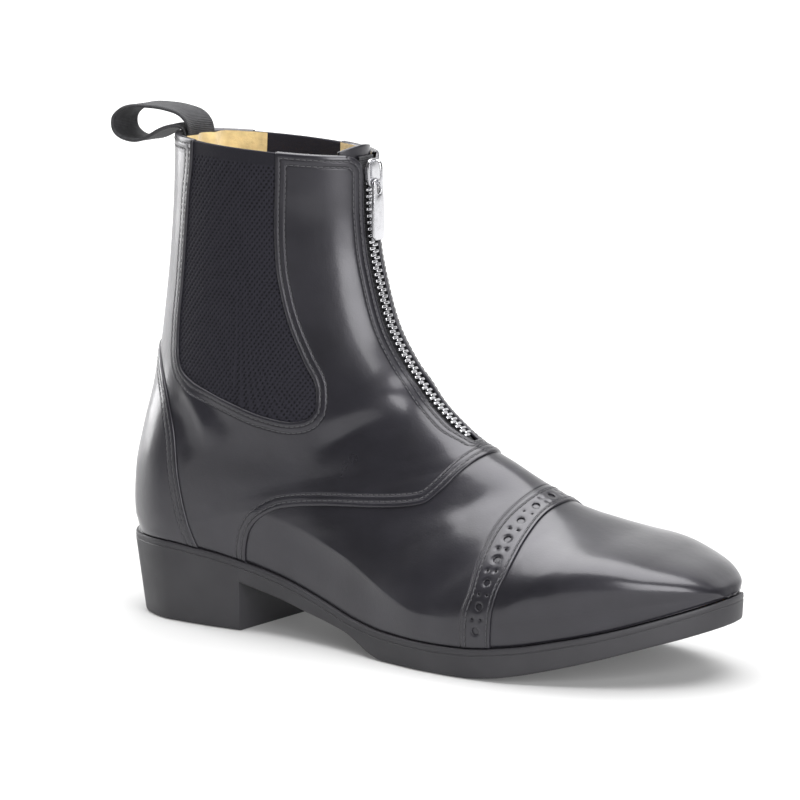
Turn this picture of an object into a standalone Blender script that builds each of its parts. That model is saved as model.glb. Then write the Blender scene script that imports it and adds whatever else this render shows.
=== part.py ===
"""Right paddock boot with a front zip and elastic gores, as separately named pieces.

X runs from heel to toe, Y to the wearer's left, which is the inner side of this right boot, and Z up.
Z = 0 is the floor and Y = 0 the plane of the zip and of the back seam. Every size below is in
millimetres with X = 0 at the back of the heel. link() writes the meshes in metres, with their origin
under the middle of the heel, ORIGIN_X further forward.

The upper is one function of two parameters. "row" counts down a fan of sections, which are level
rings at the collar, turn about the instep and stand upright at the toe. "turn" goes around a section
from the outer bottom edge (-1) over the front ridge (0) to the inner bottom edge (+1).
"""
import math

import bmesh
import bpy
import numpy as np
from mathutils import Matrix, Vector

MM = 0.001

# Driving sizes
ORIGIN_X = 34.0           # from the back of the heel to the middle of its flat bottom
SOLE_LENGTH = 284.6
SEAT_GAP = 0.3            # clearance between pieces that touch on the real boot
HEEL_BREAST = 68.0        # from the back of the heel to its front face
BREAST_SKEW = 5.5         # the breast reaches this much further on the inner side
TOE_TIP_Y = 4.0           # the toe points a little to the inner side

# Levels of the leather, measured outward from the function's own surface
COUNTER_LEVEL = 0.6
QUARTER_LEVEL = 0.0
VAMP_LEVEL = -0.7
TOE_CAP_LEVEL = -1.4
LINING_LEVEL = -3.0
SLAB_LEVEL = -2.2         # inner side of an overlay's slab, inside the wall under it
OVERLAY_TRIM = 0.25       # each overlay ends this much shorter of the collar's top and the sole

# Zip
SLIT_HALF_WIDTH = 5.0
SLIT_END_HALF_WIDTH = 2.8
SLIT_END_ROW = 8.0
SLIT_TAPER_ROWS = 0.9
TAPE_END_ROWS = 0.05      # the tape stops this short of the slit's end
TEETH_END_ROWS = 0.15     # and the teeth this short
GUARD_END_ROWS = 0.6      # while the guard runs on past it
ROW_GAP = 0.1             # nearest that a strip's own rows come to its ends
TEETH_HALF_WIDTH = 2.6
TAPE_DEPTH = (-2.9, -2.1)
TEETH_DEPTH = (-1.7, 0.3)
GUARD_LEVELS = (-4.8, -3.4)
GUARD_RISE_ROWS = 0.25
GUARD_HALF_STEPS = 2      # the guard reaches this many steps of a ring to each side

# Gores
GORE_LEVELS = (-2.0, -0.4)
GORE_STEPS = 40

# Slider and pull tab
SLIDER_BASE_Z = 187.0
SLIDER_TOP_Z = 199.0
SLIDER_HALF_WIDTH = 4.5
SLIDER_PLATE = 1.5
FLANGE = 0.6              # thickness of its side flanges
FLANGE_ENDS = (3.2, 3.6)  # how far they stop short of its lower and upper end
SLIDER_FOOT_SHARE = 0.62  # its width at the lower end, as a share of the full width
SLIDER_WAIST_SHARE = 0.9  # the same at the waist
SLIDER_WAIST_RISE = 3.0
SLIDER_SHOULDER_DROP = 3.5
FLANGE_DEPTH = 0.8        # they reach this far behind the teeth's middle
FLANGE_SINK = 0.4
SLIVER = 0.1              # keeps faces that would be coplanar apart
BRIDGE_SET_IN = 0.35      # from the plate's ends to the bridge's
BRIDGE_HALF_WIDTH = 0.9
BRIDGE_BAR = 1.2
TAB_AXIS_Z = 190.0
TAB_AXIS_CLEARANCE = 1.2  # from the slider's face to the hinge axis
TAB_THICKNESS = 1.4
TAB_LENGTH = 24.5
TAB_TOP_HALF_WIDTH = 3.5
TAB_FOOT_HALF_WIDTH = 4.1
TAB_EYE_LENGTH = 5.0
TAB_EYE_HALF_WIDTH = 1.6
TAB_NECK_LENGTH = 7.0     # narrow part of the tab, below its top
TAB_SHOULDER = 4.0        # length over which it widens below the neck
TAB_CORNER = 1.2
BAR_CLEARANCE = 1.3       # from the hinge axis to the back of the bridge
BRIDGE_SINK = 0.5         # the bridge's feet reach this far into the slider's plate
BRIDGE_FOOT_HEIGHT = 1.2

# Pull loop
LOOP_WIDTH = 18.0
LOOP_THICKNESS = 1.6
LOOP_BEND = 3.3           # its edges lie this much further forward, along the collar's round back
LOOP_BEND_FROM = (14.0, 24.0)
LOOP_CROSS_STEPS = 4
LOOP_STEPS = 36

# Insole
INSOLE_THICKNESS = 2.2
INSOLE_SIDE_GAP = 1.3
INSOLE_TOE_GAP = 6.0      # it stops this much further back inside the toe tip
INSOLE_TOE_LENGTH = 25.0

# Sole
TOP_INSET = 0.5           # small lip between the sole's top and its side
TOP_LIP = 0.7
TREAD_ROUND = 1.2         # rounding of the tread's edge
HEEL_TAPER = (3.6, 1.4)   # inset of the heel's foot at the back and at the breast
FOREPART_TAPER = 0.4
BREAST_LENGTH = 0.004     # share of the outline over which the breast rises to the waist
SKEW_START = (20.0, HEEL_BREAST)   # the skew grows to the breast and fades in front of it
SKEW_END = (HEEL_BREAST, 125.0)

# Planes outside the boot, which close a cutter's outline
FAR_SIDE = 80.0
GORE_NEAR_SIDE = 6.0
SLIT_DEPTH = (-9.0, 6.0)
SLIT_RISE_ROWS = 0.6

# Looks: base colour, roughness, metallic
BLACK_LEATHER = ((0.012, 0.012, 0.014), 0.32, 0.0)
BLACK_ELASTIC = ((0.006, 0.007, 0.012), 0.85, 0.0)
BLACK_WEBBING = ((0.010, 0.010, 0.011), 0.80, 0.0)
BLACK_RUBBER = ((0.014, 0.014, 0.015), 0.55, 0.0)
TAN_SUEDE = ((0.45, 0.26, 0.09), 0.90, 0.0)
BRIGHT_METAL = ((0.72, 0.72, 0.74), 0.25, 1.0)

# Mesh density
SMOOTH_ANGLE = 35.0       # faces that meet at less than this many degrees are shaded smooth
RING_STEPS = 12           # steps on each side of a section
ROWS_PER_SECTION = 2
SOLE_STATIONS = 58
INSOLE_STATIONS = 36

# The sole's edge, seen from above: distance from the plane y = 0 on either side
OUTLINE_COLUMNS = ("x", "outer", "inner")
OUTLINE = (
    (0.0, 0.0, 0.0),
    (4.0, 15.0, 15.0),
    (12.0, 24.2, 24.2),
    (31.0, 31.0, 31.0),
    (50.0, 31.3, 30.3),
    (68.0, 30.8, 28.6),
    (90.0, 31.8, 26.0),
    (110.0, 34.3, 25.6),
    (130.0, 38.8, 28.5),
    (150.0, 43.8, 34.5),
    (170.0, 47.8, 41.2),
    (187.0, 49.1, 45.7),
    (203.0, 48.2, 47.8),
    (218.0, 45.2, 47.2),
    (232.0, 41.0, 45.1),
    (245.0, 36.0, 41.8),
    (256.5, 30.0, 37.6),
    (266.5, 23.0, 32.0),
    (275.0, 15.5, 25.0),
    (281.2, 7.5, 17.3),
    (SOLE_LENGTH, -TOE_TIP_Y, TOE_TIP_Y),
)

# Top of the sole along its edge, which is where the upper meets it
SEAM_COLUMNS = ("x", "z")
SEAM = (
    (0.0, 35.0),
    (25.0, 35.0),
    (48.0, 33.2),
    (68.0, 30.2),
    (88.0, 26.3),
    (103.0, 22.3),
    (118.0, 17.9),
    (132.0, 14.2),
    (148.0, 12.0),
    (170.0, 11.5),
    (190.0, 12.0),
    (210.0, 14.3),
    (230.0, 18.3),
    (250.0, 23.2),
    (268.0, 28.6),
    (SOLE_LENGTH, 34.0),
)

# Underside of the sole in front of the heel: waist, flat tread under the ball, toe spring
TREAD_COLUMNS = ("x", "z")
TREAD = (
    (HEEL_BREAST, 20.9),
    (88.0, 16.9),
    (103.0, 13.2),
    (116.0, 10.4),
    (127.0, 7.8),
    (134.0, 4.6),
    (141.0, 1.4),
    (148.0, 0.0),
    (190.0, 0.0),
    (200.0, 0.8),
    (212.0, 2.8),
    (228.0, 6.6),
    (244.0, 11.0),
    (260.0, 15.8),
    (276.0, 20.4),
    (SOLE_LENGTH, 23.0),
)

# How far the upper's surface stays inside the sole's edge
INSET_COLUMNS = ("x", "inset")
INSET = (
    (0.0, 1.7),
    (70.0, 1.5),
    (150.0, 0.9),
    (210.0, 0.5),
    (SOLE_LENGTH, 0.2),
)

# Sections that close at the back seam, from the collar down to the corner of the heel
SECTION_COLUMNS = ("front_x", "front_z", "rear_x", "rear_z", "outer", "inner", "peak")
SHAFT_SECTIONS = (
    (117.6, 200.0, 22.0, 206.0, 27.0, 27.5, 0.50),
    (117.4, 182.0, 20.8, 183.0, 27.0, 27.5, 0.50),
    (118.6, 164.0, 18.7, 160.0, 27.5, 28.0, 0.50),
    (121.8, 148.0, 15.8, 138.0, 28.0, 28.5, 0.51),
    (127.2, 130.5, 12.6, 118.0, 29.0, 29.5, 0.52),
    (135.5, 116.5, 9.2, 99.0, 30.0, 30.5, 0.54),
    (146.0, 103.5, 4.5, 80.5, 30.6, 30.8, 0.56),
    (157.0, 93.5, 1.2, 62.0, 31.0, 31.0, 0.58),
    (168.0, 86.0, 0.8, 46.0, 31.4, 31.2, 0.60),
    (175.0, 82.6, 1.7, 35.3, 31.6, 31.2, 0.61),
)

# Sections that end on the sole's edge at rear_x, from the heel to the toe tip
FOOT_COLUMNS = ("front_x", "front_z", "rear_x", "outer", "inner", "peak")
FOOT_SECTIONS = (
    (182.0, 79.6, 10.0, 32.0, 31.2, 0.61),
    (189.0, 76.2, 32.0, 32.6, 31.0, 0.63),
    (196.5, 72.4, 64.0, 34.2, 30.6, 0.67),
    (204.0, 68.9, 98.0, 38.2, 31.2, 0.71),
    (211.5, 65.5, 130.0, 44.0, 34.6, 0.75),
    (219.0, 62.6, 158.0, 48.2, 42.0, 0.78),
    (227.5, 60.0, 182.0, 49.2, 46.6, 0.78),
    (236.5, 57.5, 204.0, 48.4, 48.6, 0.74),
    (246.0, 55.3, 224.0, 44.2, 47.4, 0.70),
    (255.6, 52.7, 241.5, 37.6, 43.6, 0.68),
    (264.6, 49.5, 255.6, 30.6, 38.2, 0.67),
    (272.8, 45.7, 267.2, 22.0, 31.0, 0.66),
    (278.8, 42.0, 275.5, 14.6, 24.6, 0.64),
    (282.6, 38.8, 281.2, 8.0, 17.0, 0.62),
    (SOLE_LENGTH, 34.0, SOLE_LENGTH, 0.0, 0.0, 0.60),
)
TUCK = 1.5                # the toe's wall stands this far outside its own bottom edge
TUCK_ROWS = (14.0, 17.0)  # rows over which the tuck takes over from the table's widths
PLAN_ROWS = (4.0, 8.0)    # rows over which the sole's outline takes over from an oval at the back
RIDGE_ROUNDNESS = 2.1     # superellipse power from the ridge to the widest place
TOE_ROUNDNESS = 3.0      # the same over the toe cap, which is boxier
TOE_ROUNDNESS_ROWS = (15.0, 19.0)
TIP_HEADROOM = 1.4        # the lining stays this far above the sole inside the toe tip
EDGE_TURN = 0.22          # share of a side over which the wall's normals turn level at the sole

# Side view of the panels' edges, as x and z
GORE_EDGE = (
    (43.6, 214.0),
    (42.6, 196.0),
    (39.8, 181.0),
    (38.2, 165.0),
    (35.8, 142.0),
    (34.2, 128.0),
    (34.0, 116.0),
    (36.4, 109.0),
    (42.5, 104.8),
    (54.0, 100.5),
    (68.0, 96.2),
    (81.4, 92.7),
    (94.0, 91.2),
    (102.6, 92.8),
    (107.0, 98.6),
    (106.6, 105.6),
    (100.6, 117.0),
    (94.2, 130.0),
    (90.2, 142.0),
    (87.6, 155.5),
    (86.7, 173.0),
    (87.6, 196.0),
    (88.0, 214.0),
)
QUARTER_EDGE = (
    (71.0, 24.0),
    (71.7, 33.0),
    (74.4, 43.0),
    (80.8, 50.4),
    (92.0, 56.0),
    (110.0, 58.8),
    (145.0, 61.6),
    (158.0, 64.0),
    (164.4, 69.6),
    (169.6, 76.6),
    (174.0, 81.4),
    (182.0, 87.0),
)
COUNTER_EDGE = (
    (50.5, 26.0),
    (45.0, 40.0),
    (40.8, 54.0),
    (38.2, 66.0),
    (36.0, 80.0),
    (31.0, 93.0),
    (24.4, 104.0),
    (18.0, 112.5),
    (10.0, 119.0),
    (-4.0, 124.0),
)
CAP_EDGE = (
    (202.0, 5.0),
    (202.8, 20.0),
    (204.9, 37.0),
    (206.8, 46.0),
    (207.4, 56.0),
    (208.2, 63.0),
    (211.0, 68.0),
    (216.0, 72.0),
)
HEEL_SIDE_OF_ALL = (-30.0, 240.0)   # x and z outside the boot, to close an overlay's region

# Narrow ledge for a spur strap around the back of the heel
SPUR_REST_LEVEL = 2.2
SPUR_REST_REACH = (-5.0, 30.0)
SPUR_REST_HALF_WIDTH = 14.0
SPUR_REST_Z = (78.0, 82.0)

# Middle line of the strap, from inside the collar over the loop and back
LOOP_PATH = (
    (28.2, 189.0),
    (28.7, 204.0),
    (28.2, 208.6),
    (25.6, 212.2),
    (21.0, 214.8),
    (14.0, 216.2),
    (5.0, 216.4),
    (-1.5, 215.6),
    (-6.4, 213.2),
    (-9.0, 210.0),
    (-9.0, 206.6),
    (-7.0, 203.8),
    (-3.0, 202.0),
    (1.8, 201.4),
    (7.0, 202.4),
    (12.6, 205.0),
    (17.6, 207.6),
    (20.8, 208.7),
    (23.7, 208.7),
    (26.1, 207.0),
    (26.7, 203.6),
    (26.2, 189.0),
)


def columns(names, rows):
    """A table's rows as one array for each named column."""
    return {name: np.array([row[i] for row in rows], float) for i, name in enumerate(names)}


def smooth(x, knots, values):
    """Cubic curve through the knots that never overshoots between them."""
    step = np.diff(knots)
    rise = np.diff(values) / step
    slope = np.zeros(len(knots))
    for i in range(1, len(knots) - 1):
        if rise[i - 1] * rise[i] > 0:
            before = 2 * step[i] + step[i - 1]
            after = step[i] + 2 * step[i - 1]
            slope[i] = (before + after) / (before / rise[i - 1] + after / rise[i])
    slope[0] = rise[0]
    slope[-1] = rise[-1]
    x = np.clip(np.asarray(x, float), knots[0], knots[-1])
    cell = np.clip(np.searchsorted(knots, x, side="right") - 1, 0, len(knots) - 2)
    width = step[cell]
    u = (x - knots[cell]) / width
    return (
        values[cell] * (1 + 2 * u) * (1 - u) ** 2
        + values[cell + 1] * (3 - 2 * u) * u ** 2
        + slope[cell] * width * u * (1 - u) ** 2
        - slope[cell + 1] * width * u ** 2 * (1 - u)
    )


def eased(x, low, high):
    """0 below low, 1 above high, with soft ends."""
    u = np.clip((np.asarray(x, float) - low) / (high - low), 0.0, 1.0)
    return u * u * (3 - 2 * u)


OUTLINE_TABLE = columns(OUTLINE_COLUMNS, OUTLINE)
SEAM_TABLE = columns(SEAM_COLUMNS, SEAM)
TREAD_TABLE = columns(TREAD_COLUMNS, TREAD)
INSET_TABLE = columns(INSET_COLUMNS, INSET)
SHAFT_TABLE = columns(SECTION_COLUMNS, SHAFT_SECTIONS)
FOOT_TABLE = columns(FOOT_COLUMNS, FOOT_SECTIONS)
HEEL_ROW = len(SHAFT_SECTIONS) - 1
TOE_ROW = HEEL_ROW + len(FOOT_SECTIONS)


def station_of(x):
    """Runs from 0 at the heel to 1 at the toe and makes round ends smooth."""
    return np.arccos(np.clip(1 - 2 * np.asarray(x, float) / SOLE_LENGTH, -1, 1)) / math.pi


def x_of(station):
    return SOLE_LENGTH * (1 - np.cos(math.pi * np.asarray(station, float))) / 2


def seam_height(x):
    return smooth(x, SEAM_TABLE["x"], SEAM_TABLE["z"])


def sole_edge(station, side, inset):
    """Point on the sole's outline, moved inward by inset, with side -1 outer and +1 inner."""
    knots = station_of(OUTLINE_TABLE["x"])

    def half(t):
        outer = smooth(t, knots, OUTLINE_TABLE["outer"])
        inner = smooth(t, knots, OUTLINE_TABLE["inner"])
        return np.where(side < 0, outer, inner)

    small = 1e-3
    before = np.clip(station - small, 0, 1)
    after = np.clip(station + small, 0, 1)
    run_x = x_of(after) - x_of(before)
    run_y = half(after) - half(before)
    length = np.hypot(run_x, run_y)
    normal_x = -run_y / length
    normal_y = run_x / length
    at_end = (station <= small) | (station >= 1 - small)
    normal_x = np.where(at_end, np.where(station < 0.5, -1.0, 1.0), normal_x)
    normal_y = np.where(at_end, 0.0, normal_y)
    return (
        x_of(station) - inset * normal_x,
        side * (half(station) - inset * normal_y),
        normal_x,
        side * normal_y,
    )


def upper_edge(station, side):
    """The upper's bottom edge: the sole's outline less the inset along it."""
    inset = smooth(x_of(station), INSET_TABLE["x"], INSET_TABLE["inset"])
    return sole_edge(station, side, inset)


EDGE_STATIONS = np.linspace(0.0, 1.0, 401)
EDGE_POINTS = {side: upper_edge(EDGE_STATIONS, side) for side in (-1, 1)}


def edge_half_width(x, side):
    """How far out the upper's bottom edge lies at x, on the outer (-1) or inner (+1) side."""
    outer = np.interp(x, EDGE_POINTS[-1][0], -EDGE_POINTS[-1][1])
    inner = np.interp(x, EDGE_POINTS[1][0], EDGE_POINTS[1][1])
    return np.where(side < 0, outer, inner)


def section(name, row):
    """A column of both section tables, read at a row."""
    values = np.concatenate([SHAFT_TABLE[name], FOOT_TABLE[name]])
    return smooth(row, np.arange(TOE_ROW + 1.0), values)


def front_ridge(row):
    """The middle line of the front: shin, zip, vamp and toe cap."""
    rows = np.arange(TOE_ROW + 1.0)
    tip_x = float(upper_edge(np.array(1.0), 1)[0])
    x_values = np.concatenate([SHAFT_TABLE["front_x"], FOOT_TABLE["front_x"][:-1], [tip_x]])
    z_values = np.concatenate([
        SHAFT_TABLE["front_z"],
        FOOT_TABLE["front_z"][:-1],
        [float(seam_height(tip_x)) + SEAT_GAP],
    ])
    y_values = TOE_TIP_Y * eased(rows, HEEL_ROW, TOE_ROW)
    return smooth(row, rows, x_values), smooth(row, rows, y_values), smooth(row, rows, z_values)


def rear_line(row, side):
    """Where a section ends: on the back seam above the heel, on the sole's edge in front of it."""
    shaft_rows = np.arange(HEEL_ROW + 1.0)
    shaft_x = smooth(row, shaft_rows, SHAFT_TABLE["rear_x"])
    shaft_z = smooth(row, shaft_rows, SHAFT_TABLE["rear_z"])
    foot_rows = np.arange(HEEL_ROW, TOE_ROW + 1.0)
    foot_stations = np.concatenate([[0.0], station_of(FOOT_TABLE["rear_x"])])
    station = smooth(row, foot_rows, foot_stations)
    foot_x, foot_y, _, _ = upper_edge(station, side)
    on_foot = row > HEEL_ROW
    return (
        np.where(on_foot, foot_x, shaft_x),
        np.where(on_foot, foot_y, 0.0),
        np.where(on_foot, seam_height(foot_x) + SEAT_GAP, shaft_z),
    )


def upper_point(row, turn):
    """The upper's own surface, as an array of points for arrays of rows and turns."""
    row = np.asarray(row, float)
    turn = np.asarray(turn, float)
    side = np.where(turn < 0, -1.0, 1.0)
    front_x, front_y, front_z = front_ridge(row)
    rear_x, rear_y, rear_z = rear_line(row, side)
    rear_out = side * rear_y
    peak = section("peak", row)
    shift = np.where(row <= HEEL_ROW, rear_x - EDGE_POINTS[1][0][0], 0.0)
    edge_at_peak = edge_half_width(front_x + (rear_x - front_x) * peak - shift, side)
    tucked = np.where(row >= TOE_ROW, rear_out, edge_at_peak + TUCK)
    share = eased(row, *TUCK_ROWS)
    half = np.where(side < 0, section("outer", row), section("inner", row)) * (1 - share) + tucked * share
    angle = math.pi * np.abs(turn)
    sine = np.clip(np.sin(angle), 0, 1)
    cosine = np.cos(angle)
    roundness = RIDGE_ROUNDNESS + (TOE_ROUNDNESS - RIDGE_ROUNDNESS) * eased(row, *TOE_ROUNDNESS_ROWS)
    forward = np.clip(cosine, 0, 1) ** (2 / roundness)
    backward = np.clip(-cosine, 0, 1)
    along = np.where(cosine >= 0, peak * (1 - forward), peak + (1 - peak) * backward)
    swell = sine ** (2 / roundness)
    out_front = side * front_y * (1 - swell) + half * swell
    oval = rear_out + (half - rear_out) * sine
    edge_here = edge_half_width(front_x + (rear_x - front_x) * along - shift, side)
    plan = edge_here + (half - edge_at_peak) * sine
    share = eased(row, *PLAN_ROWS)
    out = np.where(cosine >= 0, out_front, oval * (1 - share) + plan * share)
    return np.stack([
        front_x + (rear_x - front_x) * along,
        side * out,
        front_z + (rear_z - front_z) * along,
    ], axis=-1)


def upper_normal(row, turn):
    """Outward unit normals, kept level at the bottom edge and flat at the collar."""
    row = np.asarray(row, float)
    turn = np.asarray(turn, float)
    small = 2e-3
    below = upper_point(np.clip(row + small, 0, TOE_ROW), turn)
    above = upper_point(np.clip(row - small, 0, TOE_ROW), turn)
    towards = upper_point(row, np.clip(turn + small, -1, 1))
    back = upper_point(row, np.clip(turn - small, -1, 1))
    normal = np.cross(below - above, towards - back)
    normal /= np.maximum(np.linalg.norm(normal, axis=-1, keepdims=True), 1e-12)
    near_edge = eased(1 - np.abs(turn), 0, EDGE_TURN)
    low = eased(row, HEEL_ROW - 2, HEEL_ROW)
    normal[..., 2] *= 1 - low * (1 - near_edge)
    edge = np.abs(turn) > 1 - 1e-9
    side = np.where(turn < 0, -1.0, 1.0)
    station = smooth(row, np.arange(HEEL_ROW, TOE_ROW + 1.0),
                     np.concatenate([[0.0], station_of(FOOT_TABLE["rear_x"])]))
    _, _, edge_x, edge_y = upper_edge(station, side)
    level = np.stack([edge_x, edge_y, np.zeros_like(edge_x)], axis=-1)
    normal = np.where((edge & (row >= HEEL_ROW))[..., None], level, normal)
    normal[..., 1] = np.where(edge & (row <= HEEL_ROW), 0.0, normal[..., 1])
    collar_run = np.array([
        SHAFT_TABLE["rear_x"][0] - SHAFT_TABLE["front_x"][0],
        0.0,
        SHAFT_TABLE["rear_z"][0] - SHAFT_TABLE["front_z"][0],
    ])
    collar_up = np.cross(collar_run, [0.0, 1.0, 0.0])
    collar_up /= np.linalg.norm(collar_up)
    flat = normal - (normal @ collar_up)[..., None] * collar_up
    normal = np.where((row <= 0)[..., None], flat, normal)
    normal = np.where((row >= TOE_ROW)[..., None], np.array([1.0, 0.0, 0.0]), normal)
    return normal / np.linalg.norm(normal, axis=-1, keepdims=True)


def upper_surface(row, turn, level):
    """The surface moved outward by level; rows above the collar go on straight up."""
    row = np.asarray(row, float)
    turn = np.asarray(turn, float)
    inside = np.clip(row, 0, TOE_ROW)
    points = upper_point(inside, turn) + level * upper_normal(inside, turn)
    headroom = TIP_HEADROOM * np.cos(math.pi * turn / 2) * (inside < TOE_ROW)
    rim = seam_height(points[..., 0]) + SEAT_GAP + headroom
    points[..., 2] = np.maximum(points[..., 2], rim)
    if np.any(row < 0):
        first = np.zeros_like(row)
        edge = upper_point(first, turn) + level * upper_normal(first, turn)
        rise = edge - (upper_point(first + 0.5, turn) + level * upper_normal(first + 0.5, turn))
        points = np.where((row < 0)[..., None], edge + rise * (-row / 0.5)[..., None], points)
    return points


def link(name, work):
    """A mesh object from a bmesh in millimetres, with its faces turned outward."""
    for vertex in work.verts:
        vertex.co.x -= ORIGIN_X
        vertex.co *= MM
    bmesh.ops.recalc_face_normals(work, faces=work.faces)
    mesh = bpy.data.meshes.new(name)
    work.to_mesh(mesh)
    work.free()
    thing = bpy.data.objects.new(name, mesh)
    bpy.context.scene.collection.objects.link(thing)
    return thing


def solid(name, points, faces):
    """A mesh object from points in millimetres and the faces between them."""
    work = bmesh.new()
    corners = [work.verts.new([float(value) for value in point]) for point in points]
    for face in faces:
        work.faces.new([corners[i] for i in face])
    return link(name, work)


def finished(thing, look, axis=None):
    """Gives a piece its material and smooth round sides, and moves its origin to its hinge axis."""
    colour, roughness, metallic = look
    material = bpy.data.materials.new(thing.name)
    material.use_nodes = True
    shader = material.node_tree.nodes["Principled BSDF"]
    shader.inputs["Base Color"].default_value = (*colour, 1.0)
    shader.inputs["Roughness"].default_value = roughness
    shader.inputs["Metallic"].default_value = metallic
    thing.data.materials.clear()
    thing.data.materials.append(material)
    thing.data.shade_smooth()
    thing.data.set_sharp_from_angle(angle=math.radians(SMOOTH_ANGLE))
    if axis is not None:
        place = Vector(((axis[0] - ORIGIN_X) * MM, axis[1] * MM, axis[2] * MM))
        thing.data.transform(Matrix.Translation(-place))
        thing.location = place
    return thing


def combine(target, other, operation):
    """Boolean of two solids, written back to the first; the second is used up."""
    modifier = target.modifiers.new("combine", "BOOLEAN")
    modifier.operation = operation
    modifier.solver = "EXACT"
    modifier.object = other
    bpy.context.view_layer.update()
    result = bpy.data.meshes.new_from_object(target.evaluated_get(bpy.context.evaluated_depsgraph_get()))
    target.modifiers.clear()
    target.data = result
    bpy.data.objects.remove(other)
    return target


def tidy(thing):
    """Welds the slivers that a Boolean leaves."""
    work = bmesh.new()
    work.from_mesh(thing.data)
    bmesh.ops.triangulate(work, faces=work.faces)
    bmesh.ops.remove_doubles(work, verts=work.verts, dist=0.01 * MM)
    bmesh.ops.dissolve_degenerate(work, edges=work.edges, dist=0.01 * MM)
    bmesh.ops.triangulate(work, faces=work.faces)
    work.to_mesh(thing.data)
    work.free()
    return thing


def quad(faces, a, b, c, d):
    """Two triangles for a quad, leaving out what has shrunk to a line."""
    for face in ((a, b, c), (a, c, d)):
        if len(set(face)) == 3:
            faces.append(face)


def upper_form(name, outer_level, inner_level, trim=0.0):
    """The whole upper as a closed wall between two levels, cut back by trim at its top and bottom."""
    rows = np.arange(TOE_ROW * ROWS_PER_SECTION + 1) / ROWS_PER_SECTION
    turns = np.arange(-RING_STEPS, RING_STEPS + 1) / RING_STEPS
    grid_row, grid_turn = np.meshgrid(rows, turns, indexing="ij")
    points = []
    faces = []
    shells = []
    for level in (outer_level, inner_level):
        surface = upper_surface(grid_row, grid_turn, level)
        surface[0, :, 2] -= trim
        at_sole = (grid_row >= HEEL_ROW) & ((np.abs(grid_turn) == 1) | (grid_row == TOE_ROW))
        surface[..., 2] += np.where(at_sole, trim, 0.0)
        index = np.zeros(grid_row.shape, int)
        for i, row in enumerate(rows):
            for j in range(len(turns)):
                if row <= HEEL_ROW and j == len(turns) - 1:
                    index[i, j] = index[i, 0]
                elif row >= TOE_ROW and j > 0:
                    index[i, j] = index[i, 0]
                else:
                    index[i, j] = len(points)
                    points.append(surface[i, j])
        shells.append(index)
    outer, inner = shells
    for i in range(len(rows) - 1):
        for j in range(len(turns) - 1):
            for index in shells:
                quad(faces, index[i, j], index[i + 1, j], index[i + 1, j + 1], index[i, j + 1])
    for j in range(len(turns) - 1):
        quad(faces, outer[0, j], outer[0, j + 1], inner[0, j + 1], inner[0, j])
    for i, row in enumerate(rows[:-1]):
        if row >= HEEL_ROW:
            for j in (0, len(turns) - 1):
                quad(faces, outer[i, j], outer[i + 1, j], inner[i + 1, j], inner[i, j])
    return solid(name, points, faces)


def smooth_path(points, steps):
    """Points along a smooth curve through a short open list of x and z."""
    points = np.array(points, float)
    run = np.concatenate([[0.0], np.cumsum(np.hypot(*np.diff(points, axis=0).T))])
    count = int(steps)
    at = np.linspace(0, run[-1], count + 1)
    return np.stack([smooth(at, run, points[:, 0]), smooth(at, run, points[:, 1])], axis=1)


def moved_outline(points, distance):
    """A closed outline moved inward by a distance, for outlines that run anticlockwise."""
    before = np.roll(points, 1, axis=0)
    after = np.roll(points, -1, axis=0)
    run = after - before
    run /= np.linalg.norm(run, axis=1, keepdims=True)
    return points + distance * np.stack([-run[:, 1], run[:, 0]], axis=1)


def side_prism(name, outline, y_from, y_to):
    """A side-view outline in x and z, carried across the boot."""
    count = len(outline)
    points = [(x, y_from, z) for x, z in outline] + [(x, y_to, z) for x, z in outline]
    faces = [tuple(range(count)), tuple(range(2 * count - 1, count - 1, -1))]
    for i in range(count):
        j = (i + 1) % count
        faces.append((i, i + count, j + count, j))
    return solid(name, points, faces)


def region_prism(name, edge, steps):
    """Everything to the heel side of a panel's edge."""
    left, top = HEEL_SIDE_OF_ALL
    line = smooth_path(edge, steps)
    corners = [(line[-1][0], top), (left, top), (left, line[0][1])]
    if line[-1][0] < line[0][0]:
        corners = [(left, line[-1][1]), (left, line[0][1])]
    return side_prism(name, [tuple(p) for p in line] + corners, -FAR_SIDE, FAR_SIDE)


def ridge_frame(row):
    """Point, downward tangent and outward normal of the front ridge, in x and z."""
    small = 1e-2
    inside = max(row, 0.0)
    x, _, z = front_ridge(np.array([inside, max(inside - small, 0.0), inside + small]))
    tangent = np.array([x[2] - x[1], z[2] - z[1]])
    tangent /= np.linalg.norm(tangent)
    first = front_ridge(np.array([0.0, 1.0]))
    top_rise = math.hypot(first[0][0] - first[0][1], first[2][0] - first[2][1])
    point = np.array([x[0], z[0]]) + tangent * min(row, 0.0) * top_rise
    return point, tangent, np.array([-tangent[1], tangent[0]])


def ridge_strip(name, rows, half_width, depth):
    """A strip that follows the ridge: half_width is a function of the row, depth its two levels."""
    points = []
    faces = []
    for row in rows:
        point, _, normal = ridge_frame(row)
        width = half_width(row)
        for level in depth:
            x, z = point + normal * level
            points.append((x, -width, z))
            points.append((x, width, z))
    for i in range(len(rows) - 1):
        a = 4 * i
        b = a + 4
        for m, n in ((0, 1), (1, 3), (3, 2), (2, 0)):
            quad(faces, a + m, b + m, b + n, a + n)
    last = 4 * (len(rows) - 1)
    faces.append((0, 1, 3, 2))
    faces.append((last, last + 2, last + 3, last + 1))
    return solid(name, points, faces)


def slit_half_width(row):
    share = eased(row, SLIT_END_ROW - SLIT_TAPER_ROWS, SLIT_END_ROW)
    return SLIT_HALF_WIDTH + (SLIT_END_HALF_WIDTH - SLIT_HALF_WIDTH) * float(share)


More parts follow.
